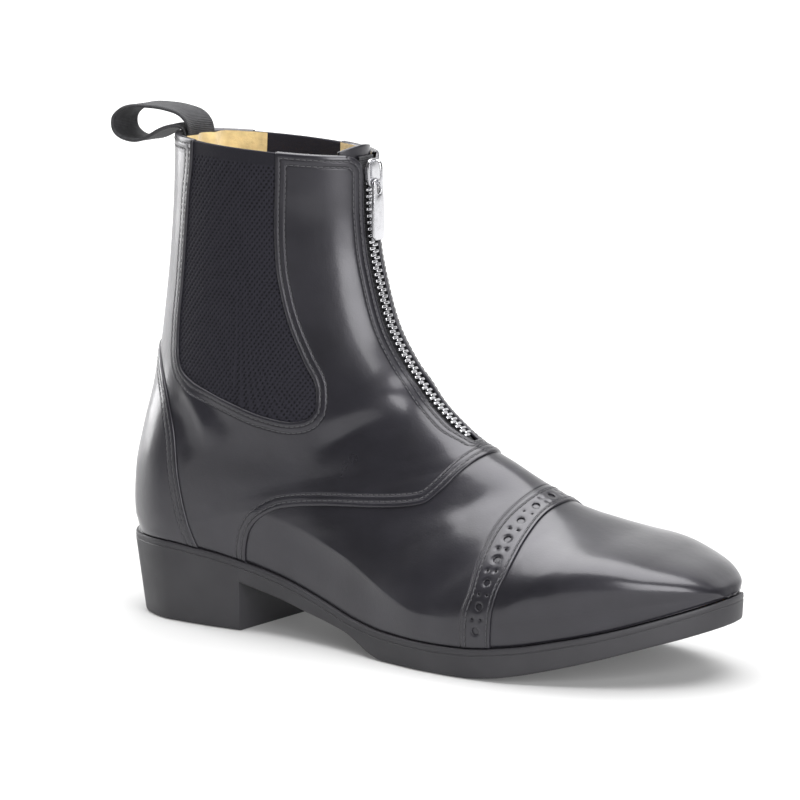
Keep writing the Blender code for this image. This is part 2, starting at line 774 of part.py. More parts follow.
def zip_rows(first, last):
    """Rows of the upper's own mesh between first and last, with both ends."""
    step = 1 / ROWS_PER_SECTION
    inner = [k * step for k in range(int(TOE_ROW / step)) if first + ROW_GAP < k * step < last - ROW_GAP]
    return [first] + inner + [last]


def make_upper():
    upper = upper_form("upper", TOE_CAP_LEVEL, LINING_LEVEL)
    overlays = (
        ("vamp", VAMP_LEVEL, CAP_EDGE, 12, 1),
        ("quarter", QUARTER_LEVEL, QUARTER_EDGE, 20, 2),
        ("counter", COUNTER_LEVEL, COUNTER_EDGE, 12, 3),
    )
    for name, level, edge, steps, layer in overlays:
        slab = upper_form(name, level, SLAB_LEVEL, layer * OVERLAY_TRIM)
        combine(slab, region_prism(name + "_region", edge, steps), "INTERSECT")
        combine(upper, slab, "UNION")
    combine(upper, spur_rest(), "UNION")
    window = side_prism("window", smooth_path(GORE_EDGE, GORE_STEPS), -FAR_SIDE, FAR_SIDE)
    combine(upper, window, "DIFFERENCE")
    slit = ridge_strip("slit", zip_rows(-SLIT_RISE_ROWS, SLIT_END_ROW), slit_half_width, SLIT_DEPTH)
    combine(upper, slit, "DIFFERENCE")
    return tidy(upper)


def spur_rest():
    """A ledge on the counter, cut from a larger form of the upper."""
    rest = upper_form("spur_rest", SPUR_REST_LEVEL, SLAB_LEVEL)
    across = (-SPUR_REST_HALF_WIDTH, SPUR_REST_HALF_WIDTH)
    return combine(rest, make_box("rest_region", SPUR_REST_REACH, across, SPUR_REST_Z), "INTERSECT")


def make_gore(name, side):
    """Elastic panel in one window, a seat gap inside the leather's edge."""
    gore = upper_form(name, GORE_LEVELS[1], GORE_LEVELS[0])
    outline = moved_outline(smooth_path(GORE_EDGE, GORE_STEPS), SEAT_GAP)
    near, far = sorted((side * GORE_NEAR_SIDE, side * FAR_SIDE))
    combine(gore, side_prism("gore_region", outline, near, far), "INTERSECT")
    return tidy(gore)


def make_zip_tape():
    def half_width(row):
        return slit_half_width(row) - SEAT_GAP

    return ridge_strip("zip_tape", zip_rows(0.0, SLIT_END_ROW - TAPE_END_ROWS), half_width, TAPE_DEPTH)


def make_zip_teeth():
    def half_width(row):
        return min(TEETH_HALF_WIDTH, slit_half_width(row) - 1.0)

    rows = zip_rows(TAPE_END_ROWS, SLIT_END_ROW - TEETH_END_ROWS)
    return ridge_strip("zip_teeth", rows, half_width, TEETH_DEPTH)


def make_zip_guard():
    """The leather guard behind the zip, from above the collar to the end of the slit."""
    inside = np.arange(0, SLIT_END_ROW + GUARD_END_ROWS, 1 / ROWS_PER_SECTION)
    rows = np.concatenate([[-GUARD_RISE_ROWS], inside])
    turns = np.arange(-GUARD_HALF_STEPS, GUARD_HALF_STEPS + 1) / RING_STEPS
    grid_row, grid_turn = np.meshgrid(rows, turns, indexing="ij")
    layers = [upper_surface(grid_row, grid_turn, level) for level in GUARD_LEVELS]
    count = grid_row.size
    points = np.concatenate([layer.reshape(-1, 3) for layer in layers])
    across = len(turns)
    faces = []
    for layer in (0, count):
        for i in range(len(rows) - 1):
            for j in range(across - 1):
                a = layer + i * across + j
                quad(faces, a, a + across, a + across + 1, a + 1)
    rim = [j for j in range(across)]
    rim += [i * across + across - 1 for i in range(1, len(rows))]
    rim += [(len(rows) - 1) * across + j for j in range(across - 2, -1, -1)]
    rim += [i * across for i in range(len(rows) - 2, 0, -1)]
    for a, b in zip(rim, rim[1:] + rim[:1]):
        quad(faces, a, b, b + count, a + count)
    return solid("zip_guard", points, faces)


def make_box(name, x, y, z):
    """A box between two values on each axis."""
    points = [(i, j, k) for i in x for j in y for k in z]
    faces = [(0, 1, 3, 2), (4, 6, 7, 5), (0, 4, 5, 1), (2, 3, 7, 6), (0, 2, 6, 4), (1, 5, 7, 3)]
    return solid(name, points, faces)


def slider_face():
    """x of the slider's front plate: its back and its front."""
    row = float(np.interp(-TAB_AXIS_Z, -SHAFT_TABLE["front_z"][:3], np.arange(3.0)))
    ridge_x = ridge_frame(row)[0][0]
    back = ridge_x + TEETH_DEPTH[1] + SEAT_GAP
    return ridge_x, back, back + SLIDER_PLATE


def make_slider():
    """Front plate, two side flanges around the teeth, and the bridge that carries the tab."""
    ridge_x, back, front = slider_face()
    axis_x = front + TAB_AXIS_CLEARANCE
    wide = SLIDER_HALF_WIDTH
    outline = (
        (-SLIDER_FOOT_SHARE * wide, SLIDER_BASE_Z),
        (SLIDER_FOOT_SHARE * wide, SLIDER_BASE_Z),
        (SLIDER_WAIST_SHARE * wide, SLIDER_BASE_Z + SLIDER_WAIST_RISE),
        (wide, SLIDER_TOP_Z - SLIDER_SHOULDER_DROP),
        (0.7 * wide, SLIDER_TOP_Z),
        (-0.7 * wide, SLIDER_TOP_Z),
        (-wide, SLIDER_TOP_Z - SLIDER_SHOULDER_DROP),
        (-SLIDER_WAIST_SHARE * wide, SLIDER_BASE_Z + SLIDER_WAIST_RISE),
    )
    slider = front_prism("zip_slider", outline, back, front)
    flange_z = (SLIDER_BASE_Z + FLANGE_ENDS[0], SLIDER_TOP_Z - FLANGE_ENDS[1])
    for side in (-1, 1):
        y = sorted((side * (SLIDER_WAIST_SHARE * wide - FLANGE), side * SLIDER_WAIST_SHARE * wide))
        flange = make_box("flange", (ridge_x - FLANGE_DEPTH, back + FLANGE_SINK), y, flange_z)
        combine(slider, flange, "UNION")
    bar = (axis_x + BAR_CLEARANCE, axis_x + BAR_CLEARANCE + BRIDGE_BAR)
    bridge_z = (SLIDER_BASE_Z + BRIDGE_SET_IN, SLIDER_TOP_Z - BRIDGE_SET_IN)
    bridge = make_box("bridge", bar, (-BRIDGE_HALF_WIDTH, BRIDGE_HALF_WIDTH), bridge_z)
    foot_x = (front - BRIDGE_SINK, bar[0] + BRIDGE_BAR / 2)
    foot_half = BRIDGE_HALF_WIDTH - SLIVER
    low = (bridge_z[0] + SLIVER, bridge_z[0] + BRIDGE_FOOT_HEIGHT)
    high = (bridge_z[1] - BRIDGE_FOOT_HEIGHT, bridge_z[1] - SLIVER)
    for z in (low, high):
        combine(bridge, make_box("foot", foot_x, (-foot_half, foot_half), z), "UNION")
    combine(slider, bridge, "UNION")
    return tidy(slider)


def front_prism(name, outline, x_from, x_to):
    """A front-view outline in y and z, carried along x."""
    count = len(outline)
    points = [(x_from, y, z) for y, z in outline] + [(x_to, y, z) for y, z in outline]
    faces = [tuple(range(count)), tuple(range(2 * count - 1, count - 1, -1))]
    for i in range(count):
        j = (i + 1) % count
        faces.append((i, i + count, j + count, j))
    return solid(name, points, faces)


def make_pull():
    """The tab hangs from the bridge by the bar above its eye."""
    _, _, front = slider_face()
    axis_x = front + TAB_AXIS_CLEARANCE
    half = TAB_THICKNESS / 2
    top = TAB_AXIS_Z + half
    neck = top - TAB_NECK_LENGTH
    foot = TAB_AXIS_Z - TAB_LENGTH
    right_side = (
        (TAB_FOOT_HALF_WIDTH - TAB_CORNER, foot),
        (TAB_FOOT_HALF_WIDTH, foot + TAB_CORNER),
        (TAB_FOOT_HALF_WIDTH, neck - TAB_SHOULDER),
        (TAB_TOP_HALF_WIDTH, neck),
        (TAB_TOP_HALF_WIDTH, top),
    )
    outline = list(right_side) + [(-y, z) for y, z in reversed(right_side)]
    pull = front_prism("zip_pull", outline, axis_x - half, axis_x + half)
    eye_x = (axis_x - TAB_THICKNESS, axis_x + TAB_THICKNESS)
    eye_y = (-TAB_EYE_HALF_WIDTH, TAB_EYE_HALF_WIDTH)
    eye = make_box("eye", eye_x, eye_y, (TAB_AXIS_Z - half - TAB_EYE_LENGTH, TAB_AXIS_Z - half))
    return tidy(combine(pull, eye, "DIFFERENCE"))


def make_pull_loop():
    """Webbing strap bent to a loop, with both ends inside the collar and curved like its back."""
    line = smooth_path(LOOP_PATH, LOOP_STEPS)
    run = np.gradient(line, axis=0)
    run /= np.linalg.norm(run, axis=1, keepdims=True)
    normal = np.stack([-run[:, 1], run[:, 0]], axis=1) * LOOP_THICKNESS / 2
    across = np.linspace(-1, 1, LOOP_CROSS_STEPS + 1)
    count = 2 * len(across)
    points = []
    faces = []
    for place, out in zip(line, normal):
        bend = LOOP_BEND * float(eased(place[0], *LOOP_BEND_FROM))
        ring = [(1, share) for share in across] + [(-1, share) for share in across[::-1]]
        for sign, share in ring:
            x, z = place + sign * out
            points.append((x + bend * abs(share) ** 1.5, share * LOOP_WIDTH / 2, z))
    for i in range(len(line) - 1):
        for j in range(count):
            a = i * count + j
            b = i * count + (j + 1) % count
            quad(faces, a, b, b + count, a + count)
    last = count * (len(line) - 1)
    faces.append(tuple(range(count)))
    faces.append(tuple(range(last + count - 1, last - 1, -1)))
    return solid("pull_loop", points, faces)


def ladder(name, outer_loops, inner_loops):
    """A solid from loops of stations on both sides, which share their first and last points."""
    points = []
    faces = []
    index = []
    for outer, inner in zip(outer_loops, inner_loops):
        start = len(points)
        points.extend(outer)
        points.extend(inner[1:-1])
        count = len(outer)
        outer_index = list(range(start, start + count))
        inner_index = [start] + list(range(start + count, start + 2 * count - 2)) + [start + count - 1]
        index.append((outer_index, inner_index))
    for upper, lower in zip(index, index[1:]):
        for side in (0, 1):
            for i in range(len(upper[side]) - 1):
                quad(faces, upper[side][i], upper[side][i + 1], lower[side][i + 1], lower[side][i])
    for loop in (index[0], index[-1]):
        for i in range(len(loop[0]) - 1):
            quad(faces, loop[0][i], loop[0][i + 1], loop[1][i + 1], loop[1][i])
    return solid(name, points, faces)


def tread_height(x):
    """Underside of the sole: the heel's bottom, then the waist and forepart."""
    return np.where(x <= HEEL_BREAST, 0.0, smooth(x, TREAD_TABLE["x"], TREAD_TABLE["z"]))


def make_outsole():
    """Heel and forepart in one: a top edge, a side wall and a tread edge, each with its own inset."""
    stations = np.linspace(0, 1, SOLE_STATIONS + 1)
    breast = float(station_of(HEEL_BREAST))
    stations = stations[np.abs(stations - breast) > 1.5 * BREAST_LENGTH]
    stations = np.sort(np.concatenate([stations, [breast, breast + BREAST_LENGTH]]))
    x = x_of(stations)
    heel = 1 - eased(x, HEEL_BREAST, HEEL_BREAST + 2)
    towards_breast = eased(x, 0, HEEL_BREAST)
    heel_taper = HEEL_TAPER[0] * (1 - towards_breast) + HEEL_TAPER[1] * towards_breast
    taper = heel_taper * heel + FOREPART_TAPER * (1 - heel)
    bottom = tread_height(x)
    skew = BREAST_SKEW * eased(x, *SKEW_START) * (1 - eased(x, *SKEW_END))
    loops = {-1: [], 1: []}
    levels = (
        (TOP_INSET, "seam", 0.0),
        (0.0, "seam", -TOP_LIP),
        (taper, "tread", TREAD_ROUND),
        (taper + TREAD_ROUND, "tread", 0.0),
    )
    for inset, base, rise in levels:
        for side in (-1, 1):
            px, py, _, _ = sole_edge(stations, side, inset)
            py = py.copy()
            py[0] = 0.0
            py[-1] = TOE_TIP_Y
            if side > 0:
                px = px + skew
            pz = (seam_height(px) if base == "seam" else bottom) + rise
            loops[side].append(list(zip(px, py, pz)))
    return ladder("outsole", loops[-1], loops[1])


def make_insole():
    """Thin board on the sole, inside the upper's bottom edge."""
    stations = np.linspace(0, 1, INSOLE_STATIONS + 1)
    x = x_of(stations)
    inset = smooth(x, INSET_TABLE["x"], INSET_TABLE["inset"]) - LINING_LEVEL + INSOLE_SIDE_GAP
    inset = inset + INSOLE_TOE_GAP * eased(x, SOLE_LENGTH - INSOLE_TOE_LENGTH, SOLE_LENGTH)
    loops = {-1: [], 1: []}
    for rise in (SEAT_GAP + INSOLE_THICKNESS, SEAT_GAP):
        for side in (-1, 1):
            px, py, _, _ = sole_edge(stations, side, inset)
            py = py.copy()
            py[0] = 0.0
            py[-1] = TOE_TIP_Y
            loops[side].append(list(zip(px, py, seam_height(px) + rise)))
    return ladder("insole", loops[-1], loops[1])


def main():
    for thing in list(bpy.data.objects):
        bpy.data.objects.remove(thing)
    finished(make_outsole(), BLACK_RUBBER)
    finished(make_insole(), TAN_SUEDE)
    finished(make_upper(), BLACK_LEATHER)
    finished(make_gore("gore_outer", -1), BLACK_ELASTIC)
    finished(make_gore("gore_inner", 1), BLACK_ELASTIC)
    finished(make_zip_guard(), BLACK_LEATHER)
    finished(make_zip_tape(), BLACK_WEBBING)
    finished(make_zip_teeth(), BRIGHT_METAL)
    finished(make_slider(), BRIGHT_METAL)
    hinge_x = slider_face()[2] + TAB_AXIS_CLEARANCE
    finished(make_pull(), BRIGHT_METAL, (hinge_x, 0.0, TAB_AXIS_Z))
    finished(make_pull_loop(), BLACK_WEBBING)


main()
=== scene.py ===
# %% [markdown]
# # A paddock boot with a front zip
# An ankle-high riding boot of polished black leather: counter, quarters, vamp and a toe cap with a
# punched edge, elastic gores in both sides, a metal zip over the instep, a webbing loop at the back and a
# rubber unit sole. The CAD frame gives every size. This lesson builds the fine surfaces over that frame.

# %% Load the frame
import math

import bmesh
import bpy
import numpy as np
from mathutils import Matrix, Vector


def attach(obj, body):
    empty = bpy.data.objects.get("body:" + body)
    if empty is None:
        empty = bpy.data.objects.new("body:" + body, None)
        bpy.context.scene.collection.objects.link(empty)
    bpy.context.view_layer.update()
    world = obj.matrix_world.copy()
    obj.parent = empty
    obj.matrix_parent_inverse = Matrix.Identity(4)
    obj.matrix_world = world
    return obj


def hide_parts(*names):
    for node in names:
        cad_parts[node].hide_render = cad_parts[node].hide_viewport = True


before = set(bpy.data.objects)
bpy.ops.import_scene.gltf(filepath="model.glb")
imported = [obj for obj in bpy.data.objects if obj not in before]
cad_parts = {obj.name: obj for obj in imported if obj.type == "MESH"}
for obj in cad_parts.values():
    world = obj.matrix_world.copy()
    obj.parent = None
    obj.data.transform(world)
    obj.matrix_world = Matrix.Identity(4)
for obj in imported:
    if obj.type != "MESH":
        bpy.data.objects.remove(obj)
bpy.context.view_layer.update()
MM = 0.001
ORIGIN_X = 34.0               # where the frame's origin lies, in x from the back of the heel

# %% [markdown]
# ## The camera
# The photograph looks at the boot's outer side, a third of a right angle round to the front and a little
# from above, with a long lens. Its place was found from the traced outline of the boot. The camera stands
# there and turns until the one boot is in the middle of the frame.

# %% Camera
CAMERA_PLACE = Vector((0.8855, -1.2093, 0.3592))
CAMERA_TARGET = Vector((0.0965, 0.0, 0.0995))
CAMERA_LENS = 160.0
PHOTO_YAW, PHOTO_PITCH = math.radians(-29.65), math.radians(-9.96)

camera_data = bpy.data.cameras.new("camera")
camera_data.lens = CAMERA_LENS
camera_data.sensor_width = 36.0
camera = bpy.data.objects.new("camera", camera_data)
bpy.context.scene.collection.objects.link(camera)
camera.location = CAMERA_PLACE
camera.rotation_mode = "QUATERNION"
photo_look = Vector((
    math.sin(PHOTO_YAW) * math.cos(PHOTO_PITCH),
    math.cos(PHOTO_YAW) * math.cos(PHOTO_PITCH),
    math.sin(PHOTO_PITCH),
))
turn_to_boot = photo_look.rotation_difference(CAMERA_TARGET - CAMERA_PLACE)
camera.rotation_quaternion = turn_to_boot @ photo_look.to_track_quat("-Z", "Y")
bpy.context.scene.camera = camera
print("camera distance in m:", round((CAMERA_TARGET - CAMERA_PLACE).length, 3))

# %% [markdown]
# ## The last
# A shoemaker pulls flat leather over a last, so every panel shares one smooth form. Here that form is a
# function of two numbers, "row" down a fan of sections and "turn" around each of them. The tables are the
# ones that the CAD model is made from, in millimetres. Any panel can then be as fine as it needs to be,
# and still fit.

# %% Tables of the form
SOLE_LENGTH = 284.6
SEAT_GAP = 0.3
HEEL_BREAST = 68.0
BREAST_SKEW = 5.5
TOE_TIP_Y = 4.0
OUTLINE = np.array((          # x, outer, inner: the sole's edge seen from above
    (0.0, 0.0, 0.0), (4.0, 15.0, 15.0), (12.0, 24.2, 24.2), (31.0, 31.0, 31.0), (50.0, 31.3, 30.3),
    (68.0, 30.8, 28.6), (90.0, 31.8, 26.0), (110.0, 34.3, 25.6), (130.0, 38.8, 28.5), (150.0, 43.8, 34.5),
    (170.0, 47.8, 41.2), (187.0, 49.1, 45.7), (203.0, 48.2, 47.8), (218.0, 45.2, 47.2), (232.0, 41.0, 45.1),
    (245.0, 36.0, 41.8), (256.5, 30.0, 37.6), (266.5, 23.0, 32.0), (275.0, 15.5, 25.0), (281.2, 7.5, 17.3),
    (SOLE_LENGTH, -TOE_TIP_Y, TOE_TIP_Y),
))
SEAM = np.array((             # x, z: the top of the sole
    (0.0, 35.0), (25.0, 35.0), (48.0, 33.2), (68.0, 30.2), (88.0, 26.3), (103.0, 22.3), (118.0, 17.9),
    (132.0, 14.2), (148.0, 12.0), (170.0, 11.5), (190.0, 12.0), (210.0, 14.3), (230.0, 18.3), (250.0, 23.2),
    (268.0, 28.6), (SOLE_LENGTH, 34.0),
))
TREAD = np.array((            # x, z: the underside in front of the heel
    (HEEL_BREAST, 20.9), (88.0, 16.9), (103.0, 13.2), (116.0, 10.4), (127.0, 7.8), (134.0, 4.6), (141.0, 1.4),
    (148.0, 0.0), (190.0, 0.0), (200.0, 0.8), (212.0, 2.8), (228.0, 6.6), (244.0, 11.0), (260.0, 15.8),
    (276.0, 20.4), (SOLE_LENGTH, 23.0),
))
INSET = np.array(((0.0, 1.7), (70.0, 1.5), (150.0, 0.9), (210.0, 0.5), (SOLE_LENGTH, 0.2)))
SHAFT_SECTIONS = np.array((   # front x, front z, rear x, rear z, outer, inner, peak
    (117.6, 200.0, 22.0, 206.0, 27.0, 27.5, 0.50),
    (117.4, 182.0, 20.8, 183.0, 27.0, 27.5, 0.50),
    (118.6, 164.0, 18.7, 160.0, 27.5, 28.0, 0.50),
    (121.8, 148.0, 15.8, 138.0, 28.0, 28.5, 0.51),
    (127.2, 130.5, 12.6, 118.0, 29.0, 29.5, 0.52),
    (135.5, 116.5, 9.2, 99.0, 30.0, 30.5, 0.54),
    (146.0, 103.5, 4.5, 80.5, 30.6, 30.8, 0.56),
    (157.0, 93.5, 1.2, 62.0, 31.0, 31.0, 0.58),
    (168.0, 86.0, 0.8, 46.0, 31.4, 31.2, 0.60),
    (175.0, 82.6, 1.7, 35.3, 31.6, 31.2, 0.61),
))
FOOT_SECTIONS = np.array((    # front x, front z, rear x, outer, inner, peak
    (182.0, 79.6, 10.0, 32.0, 31.2, 0.61),
    (189.0, 76.2, 32.0, 32.6, 31.0, 0.63),
    (196.5, 72.4, 64.0, 34.2, 30.6, 0.67),
    (204.0, 68.9, 98.0, 38.2, 31.2, 0.71),
    (211.5, 65.5, 130.0, 44.0, 34.6, 0.75),
    (219.0, 62.6, 158.0, 48.2, 42.0, 0.78),
    (227.5, 60.0, 182.0, 49.2, 46.6, 0.78),
    (236.5, 57.5, 204.0, 48.4, 48.6, 0.74),
    (246.0, 55.3, 224.0, 44.2, 47.4, 0.70),
    (255.6, 52.7, 241.5, 37.6, 43.6, 0.68),
    (264.6, 49.5, 255.6, 30.6, 38.2, 0.67),
    (272.8, 45.7, 267.2, 22.0, 31.0, 0.66),
    (278.8, 42.0, 275.5, 14.6, 24.6, 0.64),
    (282.6, 38.8, 281.2, 8.0, 17.0, 0.62),
    (SOLE_LENGTH, 34.0, SOLE_LENGTH, 0.0, 0.0, 0.60),
))
TUCK = 1.5
TUCK_ROWS = (14.0, 17.0)
PLAN_ROWS = (4.0, 8.0)
RIDGE_ROUNDNESS = 2.1
TOE_ROUNDNESS = 3.0
TOE_ROUNDNESS_ROWS = (15.0, 19.0)
TIP_HEADROOM = 1.4
EDGE_TURN = 0.22
HEEL_ROW = len(SHAFT_SECTIONS) - 1
TOE_ROW = HEEL_ROW + len(FOOT_SECTIONS)
print("rows from collar to toe:", TOE_ROW)


# %% Smooth curves
def smooth(x, knots, values):
    """Cubic curve through the knots that never overshoots between them."""
    step = np.diff(knots)
    rise = np.diff(values) / step
    slope = np.zeros(len(knots))
    for i in range(1, len(knots) - 1):
        if rise[i - 1] * rise[i] > 0:
            before = 2 * step[i] + step[i - 1]
            after = step[i] + 2 * step[i - 1]
            slope[i] = (before + after) / (before / rise[i - 1] + after / rise[i])
    slope[0] = rise[0]
    slope[-1] = rise[-1]
    x = np.clip(np.asarray(x, float), knots[0], knots[-1])
    cell = np.clip(np.searchsorted(knots, x, side="right") - 1, 0, len(knots) - 2)
    width = step[cell]
    u = (x - knots[cell]) / width
    return (
        values[cell] * (1 + 2 * u) * (1 - u) ** 2
        + values[cell + 1] * (3 - 2 * u) * u ** 2
        + slope[cell] * width * u * (1 - u) ** 2
        - slope[cell + 1] * width * u ** 2 * (1 - u)
    )


def eased(x, low, high):
    """0 below low, 1 above high, with soft ends."""
    u = np.clip((np.asarray(x, float) - low) / (high - low), 0.0, 1.0)
    return u * u * (3 - 2 * u)


def hump(distance, width):
    """1 at distance 0, falling softly to 0 within about two widths."""
    return np.exp(-(distance / width) ** 2)


# %% The sole's edge
def station_of(x):
    return np.arccos(np.clip(1 - 2 * np.asarray(x, float) / SOLE_LENGTH, -1, 1)) / math.pi


def x_of(station):
    return SOLE_LENGTH * (1 - np.cos(math.pi * np.asarray(station, float))) / 2


def seam_height(x):
    return smooth(x, SEAM[:, 0], SEAM[:, 1])


def sole_edge(station, side, inset):
    """Point and normal of the sole's outline, moved inward by inset; side is -1 outer and +1 inner."""
    knots = station_of(OUTLINE[:, 0])

    def half(t):
        return np.where(side < 0, smooth(t, knots, OUTLINE[:, 1]), smooth(t, knots, OUTLINE[:, 2]))

    small = 1e-3
    before = np.clip(station - small, 0, 1)
    after = np.clip(station + small, 0, 1)
    run_x = x_of(after) - x_of(before)
    run_y = half(after) - half(before)
    length = np.hypot(run_x, run_y)
    at_end = (station <= small) | (station >= 1 - small)
    normal_x = np.where(at_end, np.where(station < 0.5, -1.0, 1.0), -run_y / length)
    normal_y = np.where(at_end, 0.0, run_x / length)
    x = x_of(station) - inset * normal_x
    y = side * (half(station) - inset * normal_y)
    return x, y, normal_x, side * normal_y


def upper_edge(station, side):
    return sole_edge(station, side, smooth(x_of(station), INSET[:, 0], INSET[:, 1]))


EDGE_STATIONS = np.linspace(0.0, 1.0, 401)
EDGE_POINTS = {side: upper_edge(EDGE_STATIONS, side) for side in (-1, 1)}


def edge_half_width(x, side):
    outer = np.interp(x, EDGE_POINTS[-1][0], -EDGE_POINTS[-1][1])
    inner = np.interp(x, EDGE_POINTS[1][0], EDGE_POINTS[1][1])
    return np.where(side < 0, outer, inner)


# %% The upper's surface
ROW_KNOTS = np.arange(TOE_ROW + 1.0)
TIP_X = float(upper_edge(np.array(1.0), 1)[0])
FRONT_X = np.concatenate([SHAFT_SECTIONS[:, 0], FOOT_SECTIONS[:-1, 0], [TIP_X]])
TIP_Z = float(seam_height(TIP_X)) + SEAT_GAP
FRONT_Z = np.concatenate([SHAFT_SECTIONS[:, 1], FOOT_SECTIONS[:-1, 1], [TIP_Z]])
OUTER_HALF = np.concatenate([SHAFT_SECTIONS[:, 4], FOOT_SECTIONS[:, 3]])
INNER_HALF = np.concatenate([SHAFT_SECTIONS[:, 5], FOOT_SECTIONS[:, 4]])
PEAK = np.concatenate([SHAFT_SECTIONS[:, 6], FOOT_SECTIONS[:, 5]])
FOOT_ROWS = np.arange(HEEL_ROW, TOE_ROW + 1.0)
FOOT_STATIONS = np.concatenate([[0.0], station_of(FOOT_SECTIONS[:, 2])])


def rear_line(row, side):
    """Where a section ends: on the back seam, or on the sole's edge in front of the heel."""
    shaft_rows = np.arange(HEEL_ROW + 1.0)
    shaft_x = smooth(row, shaft_rows, SHAFT_SECTIONS[:, 2])
    shaft_z = smooth(row, shaft_rows, SHAFT_SECTIONS[:, 3])
    foot_x, foot_y, _, _ = upper_edge(smooth(row, FOOT_ROWS, FOOT_STATIONS), side)
    on_foot = row > HEEL_ROW
    return (
        np.where(on_foot, foot_x, shaft_x),
        np.where(on_foot, foot_y, 0.0),
        np.where(on_foot, seam_height(foot_x) + SEAT_GAP, shaft_z),
    )


def form_point(row, turn):
    """Points of the last for arrays of rows and turns, as the CAD model has them."""
    side = np.where(turn < 0, -1.0, 1.0)
    front_x = smooth(row, ROW_KNOTS, FRONT_X)
    front_z = smooth(row, ROW_KNOTS, FRONT_Z)
    front_y = TOE_TIP_Y * eased(row, HEEL_ROW, TOE_ROW)
    rear_x, rear_y, rear_z = rear_line(row, side)
    rear_out = side * rear_y
    peak = smooth(row, ROW_KNOTS, PEAK)
    shift = np.where(row <= HEEL_ROW, rear_x - EDGE_POINTS[1][0][0], 0.0)
    edge_at_peak = edge_half_width(front_x + (rear_x - front_x) * peak - shift, side)
    tucked = np.where(row >= TOE_ROW, rear_out, edge_at_peak + TUCK)
    share = eased(row, *TUCK_ROWS)
    table_half = np.where(side < 0, smooth(row, ROW_KNOTS, OUTER_HALF), smooth(row, ROW_KNOTS, INNER_HALF))
    half = table_half * (1 - share) + tucked * share
    angle = math.pi * np.abs(turn)
    sine = np.clip(np.sin(angle), 0, 1)
    cosine = np.cos(angle)
    roundness = RIDGE_ROUNDNESS + (TOE_ROUNDNESS - RIDGE_ROUNDNESS) * eased(row, *TOE_ROUNDNESS_ROWS)
    forward = np.clip(cosine, 0, 1) ** (2 / roundness)
    backward = np.clip(-cosine, 0, 1)
    along = np.where(cosine >= 0, peak * (1 - forward), peak + (1 - peak) * backward)
    swell = sine ** (2 / roundness)
    out_front = side * front_y * (1 - swell) + half * swell
    oval = rear_out + (half - rear_out) * sine
    edge_here = edge_half_width(front_x + (rear_x - front_x) * along - shift, side)
    plan = edge_here + (half - edge_at_peak) * sine
    share = eased(row, *PLAN_ROWS)
    out = np.where(cosine >= 0, out_front, oval * (1 - share) + plan * share)
    x = front_x + (rear_x - front_x) * along
    z = front_z + (rear_z - front_z) * along
    return np.stack([x, side * out, z], -1)


HEEL_BLEND_ROWS = 1.2
HEEL_BLEND_TURN = 0.05
HEEL_BLEND = (                # place as a share of the reach, weight
    (-0.9, 0.18), (-0.3, 0.32), (0.3, 0.32), (0.9, 0.18),
)


def upper_point(row, turn):
    """The last with the bend between its two fans of sections softened."""
    near = hump(row - HEEL_ROW, 1.0) * eased(1 - np.abs(turn), 0.0, HEEL_BLEND_TURN)
    reach = HEEL_BLEND_ROWS * near
    total = 0.0
    for share, weight in HEEL_BLEND:
        total = total + weight * form_point(np.clip(row + share * reach, 0, TOE_ROW), turn)
    return total


def upper_normal(row, turn):
    """Outward unit normals, kept level at the bottom edge and in the plane of the back seam on that seam."""
    small = 2e-3
    below = upper_point(np.clip(row + small, 0, TOE_ROW), turn)
    above = upper_point(np.clip(row - small, 0, TOE_ROW), turn)
    towards = upper_point(row, np.clip(turn + small, -1, 1))
    back = upper_point(row, np.clip(turn - small, -1, 1))
    normal = np.cross(below - above, towards - back)
    normal /= np.maximum(np.linalg.norm(normal, axis=-1, keepdims=True), 1e-12)
    near_edge = eased(1 - np.abs(turn), 0, EDGE_TURN)
    low = eased(row, HEEL_ROW - 2, HEEL_ROW)
    normal[..., 2] *= 1 - low * (1 - near_edge)
    at_edge = np.abs(turn) > 1 - 1e-9
    side = np.where(turn < 0, -1.0, 1.0)
    _, _, edge_x, edge_y = upper_edge(smooth(row, FOOT_ROWS, FOOT_STATIONS), side)
    level = np.stack([edge_x, edge_y, np.zeros_like(edge_x)], axis=-1)
    normal = np.where((at_edge & (row >= HEEL_ROW))[..., None], level, normal)
    normal[..., 1] = np.where(at_edge & (row <= HEEL_ROW), 0.0, normal[..., 1])
    normal = np.where((row >= TOE_ROW)[..., None], np.array([1.0, 0.0, 0.0]), normal)
    return normal / np.linalg.norm(normal, axis=-1, keepdims=True)


INSIDE_LEVEL = -2.5           # levels below this lie inside the leather and keep clear of the toe's tip


def upper_surface(row, turn, level):
    """The surface moved outward by level, never below the sole's top."""
    points = upper_point(row, turn) + np.asarray(level)[..., None] * upper_normal(row, turn)
    inside = (row < TOE_ROW) & (np.asarray(level) < INSIDE_LEVEL)
    headroom = TIP_HEADROOM * np.cos(math.pi * turn / 2) * inside
    rim = seam_height(points[..., 0]) + SEAT_GAP + headroom
    points[..., 2] = np.maximum(points[..., 2], rim)
    return points


print("collar width in mm:", round(float(np.ptp(upper_point(np.zeros(99), np.linspace(-1, 1, 99))[:, 1])), 1))

# %% [markdown]
# ## Pattern lines
# A pattern cutter draws each panel's edge once, in side view, and both sides of the boot use it. Each
# line below is a short list of places. Its signed distance field then answers every later question: which
# panel a point lies in, how far it is from the cut edge, and where a row of stitches runs.

